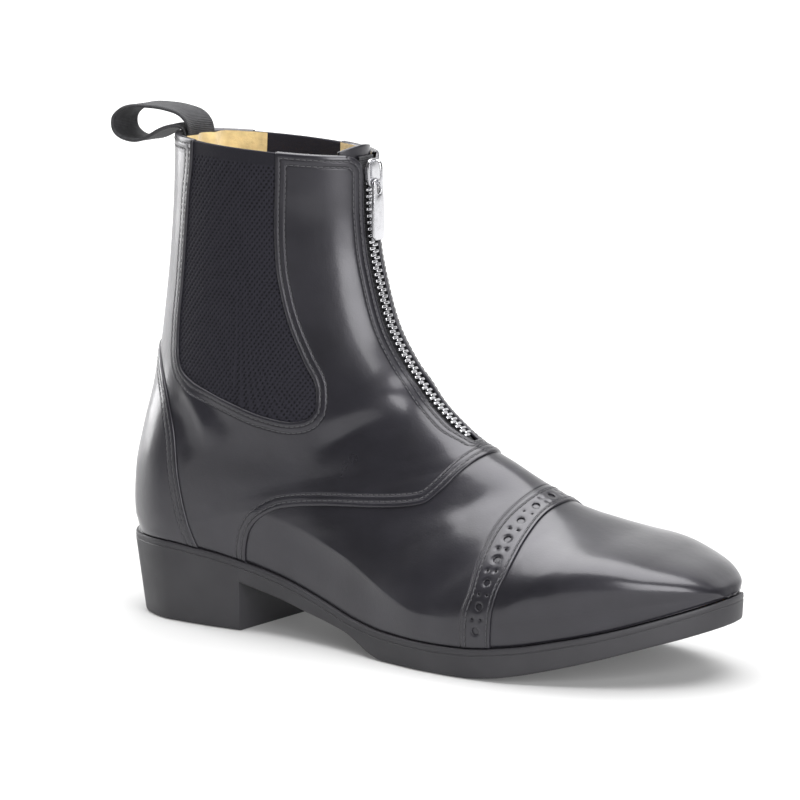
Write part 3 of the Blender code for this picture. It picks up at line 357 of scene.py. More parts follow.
# %% Pattern lines
GORE_EDGE = (
    (43.6, 214.0), (42.6, 196.0), (39.8, 181.0), (38.2, 165.0), (35.8, 142.0), (34.2, 128.0), (34.0, 116.0),
    (36.4, 109.0), (42.5, 104.8), (54.0, 100.5), (68.0, 96.2), (81.4, 92.7), (94.0, 91.2), (102.6, 92.8),
    (107.0, 98.6), (106.6, 105.6), (100.6, 117.0), (94.2, 130.0), (90.2, 142.0), (87.6, 155.5), (86.7, 173.0),
    (87.6, 196.0), (88.0, 214.0),
)
QUARTER_EDGE = (
    (71.0, 10.0), (71.0, 24.0), (71.7, 33.0), (74.4, 43.0), (80.8, 50.4), (92.0, 56.0), (110.0, 58.8),
    (145.0, 61.6), (158.0, 64.0), (164.4, 69.6), (169.6, 76.6), (174.0, 81.4), (182.0, 87.0), (195.0, 94.0),
)
COUNTER_EDGE = (
    (54.0, 16.0), (50.5, 26.0), (45.0, 40.0), (40.8, 54.0), (38.2, 66.0), (36.0, 80.0), (31.0, 93.0),
    (24.4, 104.0), (18.0, 112.5), (10.0, 119.0), (-4.0, 124.0), (-14.0, 126.0),
)
CAP_EDGE = (
    (202.0, 5.0), (202.8, 20.0), (204.9, 37.0), (206.8, 46.0), (207.4, 56.0), (208.2, 63.0), (211.0, 68.0),
    (216.0, 74.0),
)
BAND_EDGE = (
    (190.2, 5.0), (190.4, 18.0), (191.4, 28.0), (193.2, 37.0), (193.0, 46.0), (193.4, 55.0), (195.0, 61.5),
    (198.4, 67.5), (203.0, 74.0), (208.0, 80.0),
)
BATCH = 20000                 # points that are measured at one time, to save memory


def run_along(points):
    """Length along a chain of points, from its start to each of them."""
    return np.concatenate([[0.0], np.cumsum(np.linalg.norm(np.diff(points, axis=0), axis=1))])


def smooth_path(points, steps):
    """Even steps along a smooth curve through the points."""
    points = np.array(points, float)
    run = run_along(points)
    at = np.linspace(0, run[-1], steps + 1)
    return np.stack([smooth(at, run, points[:, k]) for k in range(points.shape[1])], axis=1)


def line_distance(points, edge, steps=90):
    """Signed distance in side view to a pattern line, positive on its left."""
    line = smooth_path(edge, steps)
    start, run = line[:-1], np.diff(line, axis=0)
    length = (run ** 2).sum(1)
    flat = points.reshape(-1, 3)[:, (0, 2)]
    result = np.empty(len(flat))
    for first in range(0, len(flat), BATCH):
        part = flat[first:first + BATCH]
        offset = part[:, None] - start[None]
        share = np.clip((offset * run[None]).sum(2) / length, 0, 1)
        gap = offset - share[..., None] * run[None]
        away = (gap ** 2).sum(2)
        nearest = away.argmin(1)
        pick = np.arange(len(part))
        cross = run[nearest, 0] * offset[pick, nearest, 1] - run[nearest, 1] * offset[pick, nearest, 0]
        result[first:first + BATCH] = np.sqrt(away[pick, nearest]) * np.where(cross < 0, -1, 1)
    return result.reshape(points.shape[:-1])


# %% Distances to each kind of edge
SLIT_HALF_WIDTH = 5.0
SLIT_END_HALF_WIDTH = 2.4
SLIT_END_ROW = 8.0
SLIT_TAPER_ROWS = 0.9
SLIT_ROW_LENGTH = 12.0        # millimetres in a row near the end of the slit
COLLAR_ROWS = 5               # rows over which the height below the collar is measured
FAR = 60.0                    # stands for any distance too large to matter


def slit_half_width(row):
    share = eased(row, SLIT_END_ROW - SLIT_TAPER_ROWS, SLIT_END_ROW)
    return SLIT_HALF_WIDTH + (SLIT_END_HALF_WIDTH - SLIT_HALF_WIDTH) * share


def from_slit(uv):
    """Distance from the zip's opening, positive on the leather."""
    point = upper_point(uv[:, 0], uv[:, 1])
    beside = np.abs(point[:, 1]) - slit_half_width(uv[:, 0])
    below = (uv[:, 0] - SLIT_END_ROW) * SLIT_ROW_LENGTH
    outside = np.hypot(np.maximum(beside, 0), np.maximum(below, 0))
    inside = np.minimum(np.maximum(beside, below), 0)
    return np.where(np.abs(uv[:, 1]) > 0.5, FAR, outside + inside)


def from_line(edge, sign=1.0, shift=0.0):
    def field(uv):
        return sign * line_distance(upper_point(uv[:, 0], uv[:, 1]), edge) - shift
    return field


def from_collar(uv):
    """Height below the straight line of the collar, which rises to the back."""
    front_x, front_z, rear_x, rear_z = SHAFT_SECTIONS[0, :4]
    point = upper_point(uv[:, 0], uv[:, 1])
    rim = front_z + (front_x - point[:, 0]) * (rear_z - front_z) / (front_x - rear_x)
    return np.where(uv[:, 0] < COLLAR_ROWS, rim - point[:, 2], FAR)


CORNER_RADIUS = 7.0
CORNER_ROWS = 1.0
CORNER_MARGIN = 0.02


def from_front_edge(uv):
    """Distance from the zip's opening and the collar, with the corner between them rounded."""
    beside, below = from_slit(uv), from_collar(uv)
    reach = np.hypot(np.maximum(CORNER_RADIUS - beside, 0), np.maximum(CORNER_RADIUS - below, 0))
    return np.where((beside < CORNER_RADIUS) & (below < CORNER_RADIUS), CORNER_RADIUS - reach,
                    np.minimum(beside, below))


def from_corner(uv):
    """Positive except in the small piece that the rounded corner takes away."""
    in_corner = (from_slit(uv) < CORNER_RADIUS) & (uv[:, 0] < CORNER_ROWS)
    return np.where(in_corner, from_front_edge(uv) + CORNER_MARGIN, FAR)


outside_gore = from_line(GORE_EDGE, -1.0)
in_quarter = from_line(QUARTER_EDGE)
in_counter = from_line(COUNTER_EDGE)
behind_cap = from_line(CAP_EDGE)
ahead_of_band = from_line(BAND_EDGE, -1.0)

# %% [markdown]
# ## Cutting panels from the form
# A panel could be cut with a Boolean, but that leaves slivers that spoil the gloss. Instead the flat grid
# of rows and turns is cut exactly along the zero line of a distance field, before it is bent into the
# boot. The cut edge then gets a rounded skirt, as a pared and inked leather edge has.


# %% Cut and skirt
def cut(uv, tris, field):
    """Keeps the triangles where field is positive and splits those on its zero line."""
    value = field(uv)
    value = np.where(np.abs(value) < 1e-7, 1e-7, value)
    inside = value[tris] > 0
    count = inside.sum(1)
    kept = [tris[count == 3]]
    mixed = []
    for wanted in (1, 2):
        part, flags = tris[count == wanted], inside[count == wanted]
        odd = (flags if wanted == 1 else ~flags).argmax(1)
        pick = np.arange(len(part))
        mixed.append([part[pick, (odd + k) % 3] for k in range(3)])
    pairs = np.concatenate([np.stack([m[0], m[k]], 1) for m in mixed for k in (1, 2)])
    low, high = pairs.min(1), pairs.max(1)
    keys, where = np.unique(low * len(uv) + high, return_inverse=True)
    a, b = keys // len(uv), keys % len(uv)
    left, right = np.zeros(len(keys)), np.ones(len(keys))
    at_left, at_right = value[a], value[b]
    for _ in range(5):
        share = left + (right - left) * at_left / (at_left - at_right)
        middle = field(uv[a] + (uv[b] - uv[a]) * share[:, None])
        same = np.sign(middle) == np.sign(at_left)
        left, at_left = np.where(same, share, left), np.where(same, middle, at_left)
        right, at_right = np.where(same, right, share), np.where(same, at_right, middle)
        at_left = np.where(np.abs(at_left - at_right) < 1e-12, at_left + 1e-9, at_left)
    fresh = uv[a] + (uv[b] - uv[a]) * share[:, None]
    where = where.ravel() + len(uv)
    sizes = np.cumsum([0] + [len(m[0]) for m in mixed for _ in (1, 2)])
    ab1, ac1, ab2, ac2 = (where[sizes[i]:sizes[i + 1]] for i in range(4))
    kept.append(np.stack([mixed[0][0], ab1, ac1], 1))
    kept.append(np.stack([ab2, mixed[1][1], mixed[1][2]], 1))
    kept.append(np.stack([ab2, mixed[1][2], ac2], 1))
    uv = np.concatenate([uv, fresh])
    tris = np.concatenate(kept)
    used, back = np.unique(tris, return_inverse=True)
    return uv[used], back.reshape(tris.shape)


def flat_grid(rows, turns, fields):
    """Triangles over rows and turns, cut by every field."""
    row, turn = np.meshgrid(rows, turns, indexing="ij")
    uv = np.stack([row.ravel(), turn.ravel()], axis=1)
    across = len(turns)
    a = (np.arange(len(rows) - 1)[:, None] * across + np.arange(across - 1)[None]).ravel()
    tris = np.concatenate([
        np.stack([a, a + across, a + across + 1], 1),
        np.stack([a, a + across + 1, a + 1], 1),
    ])
    for field in fields:
        uv, tris = cut(uv, tris, field)
    return uv, tris


def open_edges(tris):
    """Directed edges that only one triangle has."""
    edges = np.concatenate([tris[:, (0, 1)], tris[:, (1, 2)], tris[:, (2, 0)]])
    big = tris.max() + 1
    forward = edges[:, 0] * big + edges[:, 1]
    backward = edges[:, 1] * big + edges[:, 0]
    return edges[~np.isin(forward, backward)]


def in_metres(points):
    points = np.array(points, float)
    points[..., 0] -= ORIGIN_X
    return points * MM


def mesh_piece(name, points, faces, attributes=()):
    """An object that rides on the boot, from points in millimetres."""
    mesh = bpy.data.meshes.new(name)
    mesh.from_pydata(in_metres(points).tolist(), [], [tuple(int(i) for i in f) for f in faces])
    for label, values in attributes:
        mesh.attributes.new(label, "FLOAT", "POINT").data.foreach_set("value", np.asarray(values, np.float32))
    mesh.shade_smooth()
    piece = bpy.data.objects.new(name, mesh)
    bpy.context.scene.collection.objects.link(piece)
    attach(piece, "boot")
    return piece


CUT_EDGE = ((0.22, -0.12), (0.30, -0.45), (0.30, -1.0))
ROLLED_EDGE = ((0.35, -0.25), (0.62, -0.9), (0.62, -1.8), (0.3, -2.5), (-0.5, -2.9))
SOLE_EDGE = ((0.0, -0.5), (0.0, -1.2), (-1.0, -1.8))
WELD_DISTANCE = 2e-5


def panel(name, uv, tris, level, distance, material):
    """Bends a cut grid into the boot, adds its skirts and welds it at the back seam."""
    row, turn = uv[:, 0], uv[:, 1]
    points = upper_surface(row, turn, level)
    normal = upper_normal(row, turn)
    edges = open_edges(tris)
    at_back = (np.abs(turn) > 1 - 1e-9) & (row <= HEEL_ROW + 1e-9)
    at_tip = row >= TOE_ROW - 1e-9
    keep = ~(at_back[edges].all(1) | at_tip[edges].all(1))
    edges = edges[keep]
    direction = points[edges[:, 1]] - points[edges[:, 0]]
    away = np.cross(direction, normal[edges[:, 0]] + normal[edges[:, 1]])
    away /= np.maximum(np.linalg.norm(away, axis=1, keepdims=True), 1e-9)
    total = np.zeros_like(points)
    for k in (0, 1):
        np.add.at(total, edges[:, k], away)
    rim = np.unique(edges)
    total = total[rim] / np.maximum(np.linalg.norm(total[rim], axis=1, keepdims=True), 1e-9)
    at_collar = row[rim] < 1e-9
    at_sole = (np.abs(turn[rim]) > 1 - 1e-9) & (row[rim] > HEEL_ROW - 1e-9)
    place = np.full(len(points), -1)
    place[rim] = np.arange(len(rim))
    rings = [points]
    faces = [tris]
    offset = len(points)
    base = points[rim]
    steps = len(ROLLED_EDGE)
    for k in range(steps):
        outward = np.full(len(rim), CUT_EDGE[min(k, 2)][0])
        inward = np.full(len(rim), CUT_EDGE[min(k, 2)][1])
        outward = np.where(at_collar, ROLLED_EDGE[k][0], outward)
        inward = np.where(at_collar, ROLLED_EDGE[k][1], inward)
        lift = np.where(at_sole, SOLE_EDGE[min(k, 2)][0], 0.0)
        inward = np.where(at_sole, SOLE_EDGE[min(k, 2)][1], inward)
        outward = np.where(at_sole, 0.0, outward)
        ring = base + outward[:, None] * total + inward[:, None] * normal[rim]
        ring[:, 2] += lift
        rings.append(ring)
        last = place if k == 0 else place + offset - len(rim)
        lower = place + offset
        a, b = edges[:, 0], edges[:, 1]
        top_a, top_b = (a, b) if k == 0 else (last[a], last[b])
        faces.append(np.stack([top_b, top_a, lower[a]], 1))
        faces.append(np.stack([top_b, lower[a], lower[b]], 1))
        offset += len(rim)
    everything = np.concatenate(rings)
    far = np.concatenate([distance] + [np.zeros(len(rim))] * steps)
    piece = mesh_piece(name, everything, np.concatenate(faces), (("edge_distance", far),))
    weld = bmesh.new()
    weld.from_mesh(piece.data)
    weld.verts.ensure_lookup_table()
    seam = [v for v in weld.verts if abs(v.co.y) < WELD_DISTANCE or v.co.x > (TIP_X - ORIGIN_X - 0.5) * MM]
    bmesh.ops.remove_doubles(weld, verts=seam, dist=WELD_DISTANCE)
    bmesh.ops.dissolve_degenerate(weld, edges=weld.edges, dist=1e-7)
    weld.to_mesh(piece.data)
    weld.free()
    piece.data.shade_smooth()
    piece.data.materials.append(material)
    print(name, len(piece.data.polygons), "faces")
    return piece


# %% [markdown]
# ## Finishes
# Each finish is built from the same few parts: a base colour with a slight mottle, a roughness that
# varies with it, and a bump. Polished corrected leather is nearly smooth, with a fine grain under a thin
# coat of polish. The stitch rows pull the leather down, so two grooves are read from the panel's own edge
# distance.


# %% Node helpers
def finish(name, colour, roughness, metallic=0.0):
    material = bpy.data.materials.new(name)
    material.use_nodes = True
    shader = material.node_tree.nodes["Principled BSDF"]
    shader.inputs["Base Color"].default_value = (*colour, 1.0)
    shader.inputs["Roughness"].default_value = roughness
    shader.inputs["Metallic"].default_value = metallic
    return material


def node(material, kind, links=(), **values):
    """Adds a shader node, sets its values and links its inputs."""
    tree = material.node_tree
    made = tree.nodes.new(kind)
    for key, value in values.items():
        if hasattr(made, key):
            setattr(made, key, value)
        else:
            made.inputs[key.replace("_", " ")].default_value = value
    for key, output in links:
        tree.links.new(output, made.inputs[key])
    return made


def maths(material, operation, first, second=None):
    made = material.node_tree.nodes.new("ShaderNodeMath")
    made.operation = operation
    for index, value in enumerate((first, second)):
        if isinstance(value, (int, float)):
            made.inputs[index].default_value = value
        elif value is not None:
            material.node_tree.links.new(value, made.inputs[index])
    return made.outputs[0]


def feed(material, socket, output):
    shader = material.node_tree.nodes["Principled BSDF"]
    material.node_tree.links.new(output, shader.inputs[socket])


def bump(material, heights):
    """Chains bumps from (height output, strength, distance in metres)."""
    last = None
    for height, strength, distance in heights:
        made = node(material, "ShaderNodeBump", (("Height", height),), Strength=strength, Distance=distance)
        if last is not None:
            material.node_tree.links.new(last, made.inputs["Normal"])
        last = made.outputs["Normal"]
    feed(material, "Normal", last)


def noise(material, scale, detail=3.0, roughness=0.5):
    place = node(material, "ShaderNodeTexCoord").outputs["Object"]
    return node(material, "ShaderNodeTexNoise", (("Vector", place),), Scale=scale, Detail=detail,
                Roughness=roughness).outputs["Fac"]


def ranged(material, value, low, high, from_low=0.3, from_high=0.7):
    made = node(material, "ShaderNodeMapRange", (("Value", value),))
    made.inputs["From Min"].default_value = from_low
    made.inputs["From Max"].default_value = from_high
    made.inputs["To Min"].default_value = low
    made.inputs["To Max"].default_value = high
    return made.outputs["Result"]


MIX_COLOURS = (6, 7)          # a Mix node keeps its two colours in these of its many sockets
MIX_RESULT = 2


def blend(material, factor, first, second):
    """Feeds the base colour with a blend of two colours."""
    mix = node(material, "ShaderNodeMix", (("Factor", factor),), data_type="RGBA")
    for index, colour in zip(MIX_COLOURS, (first, second)):
        mix.inputs[index].default_value = (*colour, 1.0)
    feed(material, "Base Color", mix.outputs[MIX_RESULT])


def mottled(material, colour, spread, scale):
    """Base colour that varies softly between two shades."""
    darker = [min(1.0, c * (1 - spread)) for c in colour]
    lighter = [min(1.0, c * (1 + spread)) for c in colour]
    blend(material, ranged(material, noise(material, scale), 0.0, 1.0), darker, lighter)


# %% Leather
STITCH_ROWS = (1.7, 4.3)      # distances of the rows from the cut edge
GROOVE_WIDTH = 0.42
BAND_ROW = 1.3
VAMP_ROW = BAND_ROW + 0.9
LEATHER_COLOUR = (0.013, 0.0125, 0.016)


def leather(name, rows):
    """Polished leather with a groove at each distance in rows from its edge."""
    material = finish(name, LEATHER_COLOUR, 0.32)
    mottled(material, LEATHER_COLOUR, 0.22, 55.0)
    shader = material.node_tree.nodes["Principled BSDF"]
    shader.inputs["Specular Tint"].default_value = (0.95, 0.93, 1.0, 1.0)
    shader.inputs["Coat Weight"].default_value = 0.35
    shader.inputs["Coat Roughness"].default_value = 0.16
    feed(material, "Roughness", ranged(material, noise(material, 30.0, 4.0), 0.27, 0.40))
    place = node(material, "ShaderNodeTexCoord").outputs["Object"]
    pores = node(material, "ShaderNodeTexVoronoi", (("Vector", place),), Scale=1500.0).outputs["Distance"]
    heights = [(noise(material, 420.0, 4.0, 0.6), 0.10, 0.0004), (pores, 0.10, 0.0002)]
    heights.append((noise(material, 90.0, 2.0), 0.12, 0.0010))
    if rows:
        away = node(material, "ShaderNodeAttribute", attribute_name="edge_distance").outputs["Fac"]
        grooves = None
        for middle in rows:
            gap = maths(material, "DIVIDE", maths(material, "SUBTRACT", away, middle), GROOVE_WIDTH)
            square = maths(material, "MULTIPLY", gap, gap)
            groove = maths(material, "POWER", math.e, maths(material, "MULTIPLY", square, -1.0))
            grooves = groove if grooves is None else maths(material, "ADD", grooves, groove)
        heights.append((maths(material, "MULTIPLY", grooves, -1.0), 0.8, 0.0005))
    bump(material, heights)
    return material


leather_panels = leather("leather_panels", STITCH_ROWS)
leather_vamp = leather("leather_vamp", (VAMP_ROW,))
leather_band = leather("leather_band", (BAND_ROW,))
print("leather is ready")

# %% [markdown]
# ## Creases
# Leather that has been tried on keeps soft folds: a fan below the gore, a trough across the vamp where it
# bends, and a swelling over the instep. Each fold is given as a short path in side view, with
# its width and its height. A minus sign makes a trough.

# %% Folds
FOLD_BEND = 2.0
FOLD_END = 0.25
FOLDS = (                     # from x, z, to x, z, width, height
    (112.0, 92.0, 142.0, 106.0, 6.0, 1.1),
    (110.0, 82.0, 140.0, 94.0, 5.0, -0.9),
    (40.0, 101.0, 54.0, 82.0, 3.6, 1.0),
    (49.0, 99.0, 64.0, 86.0, 5.0, -0.7),
    (35.0, 92.0, 44.0, 74.0, 4.5, -0.5),
    (92.0, 46.0, 150.0, 24.0, 11.0, -1.2),
    (150.0, 30.0, 186.0, 58.0, 10.0, 0.7),
    (168.0, 26.0, 188.0, 44.0, 6.0, -0.5),
    (176.0, 60.0, 190.0, 70.0, 5.0, -0.5),
    (60.0, 80.0, 120.0, 66.0, 14.0, -0.7),
    (100.0, 180.0, 108.0, 150.0, 8.0, -0.5),
    (230.0, 60.0, 268.0, 50.0, 7.0, -1.3),
)


def folds(points):
    """Height of all folds at each point."""
    total = np.zeros(len(points))
    for x0, z0, x1, z1, width, height in FOLDS:
        run = np.array([x1 - x0, z1 - z0])
        length = np.linalg.norm(run)
        offset = points[:, (0, 2)] - np.array([x0, z0])
        share = (offset @ run) / length ** 2
        across = (offset[:, 0] * run[1] - offset[:, 1] * run[0]) / length
        bend = across + FOLD_BEND * np.sin(share * 3.0)
        ends = eased(share, -FOLD_END, FOLD_END) * (1 - eased(share, 1 - FOLD_END, 1 + FOLD_END))
        total += height * hump(bend, width) * ends
    return total


# %% [markdown]
# ## The leather panels
# The vamp lies over the toe cap, the quarters over the vamp, and the counter over the quarters. Each one
# lies a little higher than the one under it and runs on beneath it, so every cut edge casts its own thin
# shadow.

# %% Panels
STEPS_PER_ROW = 14
STEPS_PER_SIDE = 120
COUNTER_LEVEL, QUARTER_LEVEL, VAMP_LEVEL, CAP_LEVEL, LINING_LEVEL = 0.6, 0.0, -0.7, -1.4, -3.0
UNDERLAP = 5.0
QUARTER_ROWS = (0, TOE_ROW - 4)
COUNTER_ROWS = (2, 14)
VAMP_ROWS = (5, TOE_ROW)
CAP_ROWS = (10, TOE_ROW)
PUFF = 0.28
VAMP_PUFF = 0.1
SWELLS = ((0.9, 0.9, 1.0), (3.0, 0.8, 0.5))      # distance from the edge, width, share of the puff


def grid_lines(first_row, last_row, steps_per_row=STEPS_PER_ROW, steps_per_side=STEPS_PER_SIDE):
    rows = np.linspace(first_row, last_row, int(round((last_row - first_row) * steps_per_row)) + 1)
    return rows, np.linspace(-1, 1, 2 * steps_per_side + 1)


def puffed(base, distance, rise=PUFF):
    """Leather swells between its cut edge and the first stitches, and again between the rows."""
    for middle, width, share in SWELLS:
        base = base + share * rise * hump(distance - middle, width)
    return base


def make_panel(name, rows, fields, edge_fields, base, material=leather_panels, rise=PUFF):
    """A panel between two rows, cut by fields, with its seams along the edge fields."""
    uv, tris = flat_grid(*grid_lines(*rows), fields)
    distance = np.min([field(uv) for field in edge_fields], axis=0)
    level = puffed(base, distance, rise) + folds(upper_point(uv[:, 0], uv[:, 1]))
    piece = panel(name, uv, tris, level, distance, material)
    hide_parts("upper")
    return uv, tris


quarter_edges = [in_quarter, outside_gore, from_front_edge]
over_counter = from_line(COUNTER_EDGE, -1.0, -UNDERLAP)
quarter_uv, quarter_tris = make_panel(
    "quarters", QUARTER_ROWS, [in_quarter, outside_gore, from_slit, from_corner, over_counter],
    quarter_edges, QUARTER_LEVEL,
)
counter_uv, counter_tris = make_panel("counter", COUNTER_ROWS, [in_counter], [in_counter], COUNTER_LEVEL)
under_quarters = from_line(QUARTER_EDGE, -1.0, -UNDERLAP)
vamp_edge = from_line(BAND_EDGE, 1.0, -1.0)
make_panel("vamp", VAMP_ROWS, [under_quarters, vamp_edge], [vamp_edge], VAMP_LEVEL, leather_vamp, VAMP_PUFF)
cap_edge = from_line(BAND_EDGE, -1.0, -1.0)
make_panel("toe_cap", CAP_ROWS, [cap_edge], [cap_edge], CAP_LEVEL)

# %% [markdown]
# ## The punched band
# The front edge of the vamp is punched before it is sewn over the toe cap: one large hole, then two small
# ones side by side, over and over. The holes are real, cut by the distance to their centres, so the band
# has a finer grid than the rest.

# %% Lines at a constant distance
def chained(pairs):
    """Puts crossing pairs (key, key) in order as chains of keys."""
    after = {}
    for a, b in pairs:
        after.setdefault(a, []).append(b)
        after.setdefault(b, []).append(a)
    left = set(after)
    chains = []
    while left:
        ends = [k for k in left if len(after[k]) == 1]
        here = min(ends) if ends else min(left)
        chain = [here]
        left.discard(here)
        while True:
            ahead = [k for k in after[here] if k in left]
            if not ahead:
                break
            here = ahead[0]
            chain.append(here)
            left.discard(here)
        chains.append(chain)
    return chains


def contour(uv, tris, value, wanted):
    """Chains of uv points along which value equals wanted."""
    value = value - wanted
    value = np.where(np.abs(value) < 1e-9, 1e-9, value)
    edges = np.stack([tris[:, (0, 1)], tris[:, (1, 2)], tris[:, (2, 0)]], 1)
    crossing = value[edges[..., 0]] * value[edges[..., 1]] < 0
    hit = crossing.sum(1) == 2
    chosen = edges[hit][crossing[hit]].reshape(-1, 2, 2)
    low, high = chosen.min(2), chosen.max(2)
    keys = low * len(uv) + high
    result = []
    for chain in chained(keys.tolist()):
        chain = np.array(chain)
        a, b = chain // len(uv), chain % len(uv)
        share = value[a] / (value[a] - value[b])
        result.append(uv[a] + (uv[b] - uv[a]) * share[:, None])
    return result


# %% Band with its holes
BAND_LIFT = 0.15
BAND_PUFF = 0.06
HOLE_PITCH = 10.4
LARGE_HOLE = 1.75
SMALL_HOLE = 0.75
SMALL_HOLE_ASIDE = 1.9
BAND_SPAN = (11.0, 18.4)
RIDGE_HOLE_Y = -2.9           # one large hole sits here, beside the ridge
FIRST_MARGIN, LARGE_MARGIN, SMALL_MARGIN = 3.0, 2.5, 2.0     # free length at the band's ends
COARSE = 6
RIM_DIP = 0.2                 # the leather sinks a little around each hole


def along_chain(chain, level):
    points = upper_surface(chain[:, 0], chain[:, 1], np.full(len(chain), level))
    return points, run_along(points)


def place_at(at, run, line):
    """The point of a chain at a length along it."""
    return np.array([np.interp(at, run, line[:, k]) for k in range(3)])


band_rows = np.linspace(*BAND_SPAN, 260)
band_turns = np.linspace(-1, 1, 641)
coarse_uv, coarse_tris = flat_grid(band_rows[::COARSE], band_turns[::COARSE], [])
middle_field = 0.5 * (ahead_of_band(coarse_uv) - behind_cap(coarse_uv))
middle = max(contour(coarse_uv, coarse_tris, middle_field, 0.0), key=len)
middle_points, middle_run = along_chain(middle, VAMP_LEVEL)
ridge_run = middle_run[np.abs(middle_points[:, 1] - RIDGE_HOLE_Y).argmin()]
hole_centres = []
hole_radii = []
first_hole = ridge_run - HOLE_PITCH * math.floor((ridge_run - FIRST_MARGIN) / HOLE_PITCH)
for at in np.arange(first_hole, middle_run[-1] - LARGE_MARGIN, HOLE_PITCH):
    hole_centres.append(place_at(at, middle_run, middle_points))
    hole_radii.append(LARGE_HOLE)
    half_way = at + HOLE_PITCH / 2
    if half_way < middle_run[-1] - SMALL_MARGIN:
        place = place_at(half_way, middle_run, middle_points)
        for aside in (-SMALL_HOLE_ASIDE, SMALL_HOLE_ASIDE):
            hole_centres.append(place + np.array([aside, 0.0, 0.0]))
            hole_radii.append(SMALL_HOLE)
hole_centres = np.array(hole_centres)
hole_radii = np.array(hole_radii)


def outside_holes(uv):
    """Distance from the nearest hole's rim."""
    point = upper_surface(uv[:, 0], uv[:, 1], np.full(len(uv), VAMP_LEVEL))
    best = np.full(len(point), FAR)
    for centre, radius in zip(hole_centres, hole_radii):
        best = np.minimum(best, np.linalg.norm(point - centre, axis=1) - radius)
    return best


band_uv, band_tris = flat_grid(band_rows, band_turns, [ahead_of_band, behind_cap, outside_holes])
band_edge = np.minimum(ahead_of_band(band_uv), behind_cap(band_uv))
band_level = puffed(VAMP_LEVEL + BAND_LIFT, band_edge, BAND_PUFF)
band_level -= RIM_DIP * hump(outside_holes(band_uv), 0.5)
band_level += folds(upper_point(band_uv[:, 0], band_uv[:, 1]))
band = panel("punched_band", band_uv, band_tris, band_level, band_edge, leather_band)
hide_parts("upper")
print("holes:", len(hole_radii))

# %% [markdown]
# ## The lining
# Tan suede lines the shaft and the foot. It shows as a strip inside the collar, and stops at the elastic.

# %% Suede and lining
SUEDE_COLOUR = (0.84, 0.62, 0.30)


def suede(name):
    material = finish(name, SUEDE_COLOUR, 0.95)
    mottled(material, SUEDE_COLOUR, 0.25, 160.0)
    shader = material.node_tree.nodes["Principled BSDF"]
    shader.inputs["Sheen Weight"].default_value = 0.5
    shader.inputs["Sheen Roughness"].default_value = 0.5
    nap = noise(material, 900.0, 4.0, 0.7)
    bump(material, [(nap, 0.5, 0.0006), (noise(material, 180.0, 2.0), 0.3, 0.0008)])
    return material


lining_suede = suede("lining_suede_finish")
LINING_FACING = 6.5           # how far the lining covers the rear edge of each gore
LINING_FACING_ENDS = (50.0, 75.0)
LINING_STEPS = (10, 90)
POCKET_DEPTH = 7.0            # the lining stands in from the loop's foot
POCKET_SIDES = (12.0, 17.5)
POCKET_HEIGHTS = (178.0, 190.0)


def lining_window(uv):
    """The gore's window, with the rear edge faced by suede."""
    x = upper_point(uv[:, 0], uv[:, 1])[:, 0]
    return outside_gore(uv) + LINING_FACING * (1 - eased(x, *LINING_FACING_ENDS))


lining_fields = [lining_window, from_slit, from_corner]
lining_uv, lining_tris = flat_grid(*grid_lines(0, TOE_ROW, *LINING_STEPS), lining_fields)
lining_place = upper_point(lining_uv[:, 0], lining_uv[:, 1])
pocket = POCKET_DEPTH * (1 - eased(np.abs(lining_place[:, 1]), *POCKET_SIDES))
pocket = pocket * eased(lining_place[:, 2], *POCKET_HEIGHTS) * (np.abs(lining_uv[:, 1]) > 0.5)
lining_points = upper_surface(lining_uv[:, 0], lining_uv[:, 1], LINING_LEVEL - pocket)
lining = mesh_piece("lining", lining_points, lining_tris[:, ::-1])
lining.data.materials.append(lining_suede)
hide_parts("upper")
print("lining faces:", len(lining.data.polygons))

# %% [markdown]
# ## The elastic gores
# A gore is a knitted elastic web: small knots in slanting lines, with gaps between them. The knots
# are raised in the mesh itself, and the gaps get a darker colour, which is painted shade. A plain woven hem
# closes the top.

# %% Gores
KNIT_ACROSS = 2.3
KNIT_DOWN = 2.7
KNIT_DEPTH = 0.30
KNIT_GAP = 0.9
GORE_BACK, GORE_FACE = -2.6, -0.9
GORE_TURNS = (0.18, 0.86)
GORE_ROWS = (0, 7.2)
GORE_UNDERLAP = 1.4
HEM_DEPTH = 5.5
HEM_SOFTNESS = 0.5
HEM_RISE = 0.25
HEM_SHADE = 0.2
ELASTIC_COLOUR = (0.017, 0.016, 0.023)
# colour of the sunken gaps between the knots: painted shade in the recesses
PAINTED_GAP_SHADE_COLOUR = (0.004, 0.004, 0.006)


def knit(points):
    """Height between the holes of the knit, which stand in slanting lines, between -1 and 1."""
    wave = np.cos(2 * math.pi * points[:, 0] / KNIT_ACROSS) * np.cos(2 * math.pi * points[:, 2] / KNIT_DOWN)
    return 1 - 2 * eased(wave, 0.0, KNIT_GAP)


elastic = finish("elastic", ELASTIC_COLOUR, 0.8)
knot_height = node(elastic, "ShaderNodeAttribute", attribute_name="knot").outputs["Fac"]
# the colour darkens with the knit's depth: painted shade in the gaps between the knots
blend(elastic, ranged(elastic, knot_height, 0.0, 1.0, -0.5, 0.6), PAINTED_GAP_SHADE_COLOUR, ELASTIC_COLOUR)
elastic.node_tree.nodes["Principled BSDF"].inputs["Specular IOR Level"].default_value = 0.25
bump(elastic, [(noise(elastic, 1600.0, 3.0, 0.6), 0.6, 0.0004)])


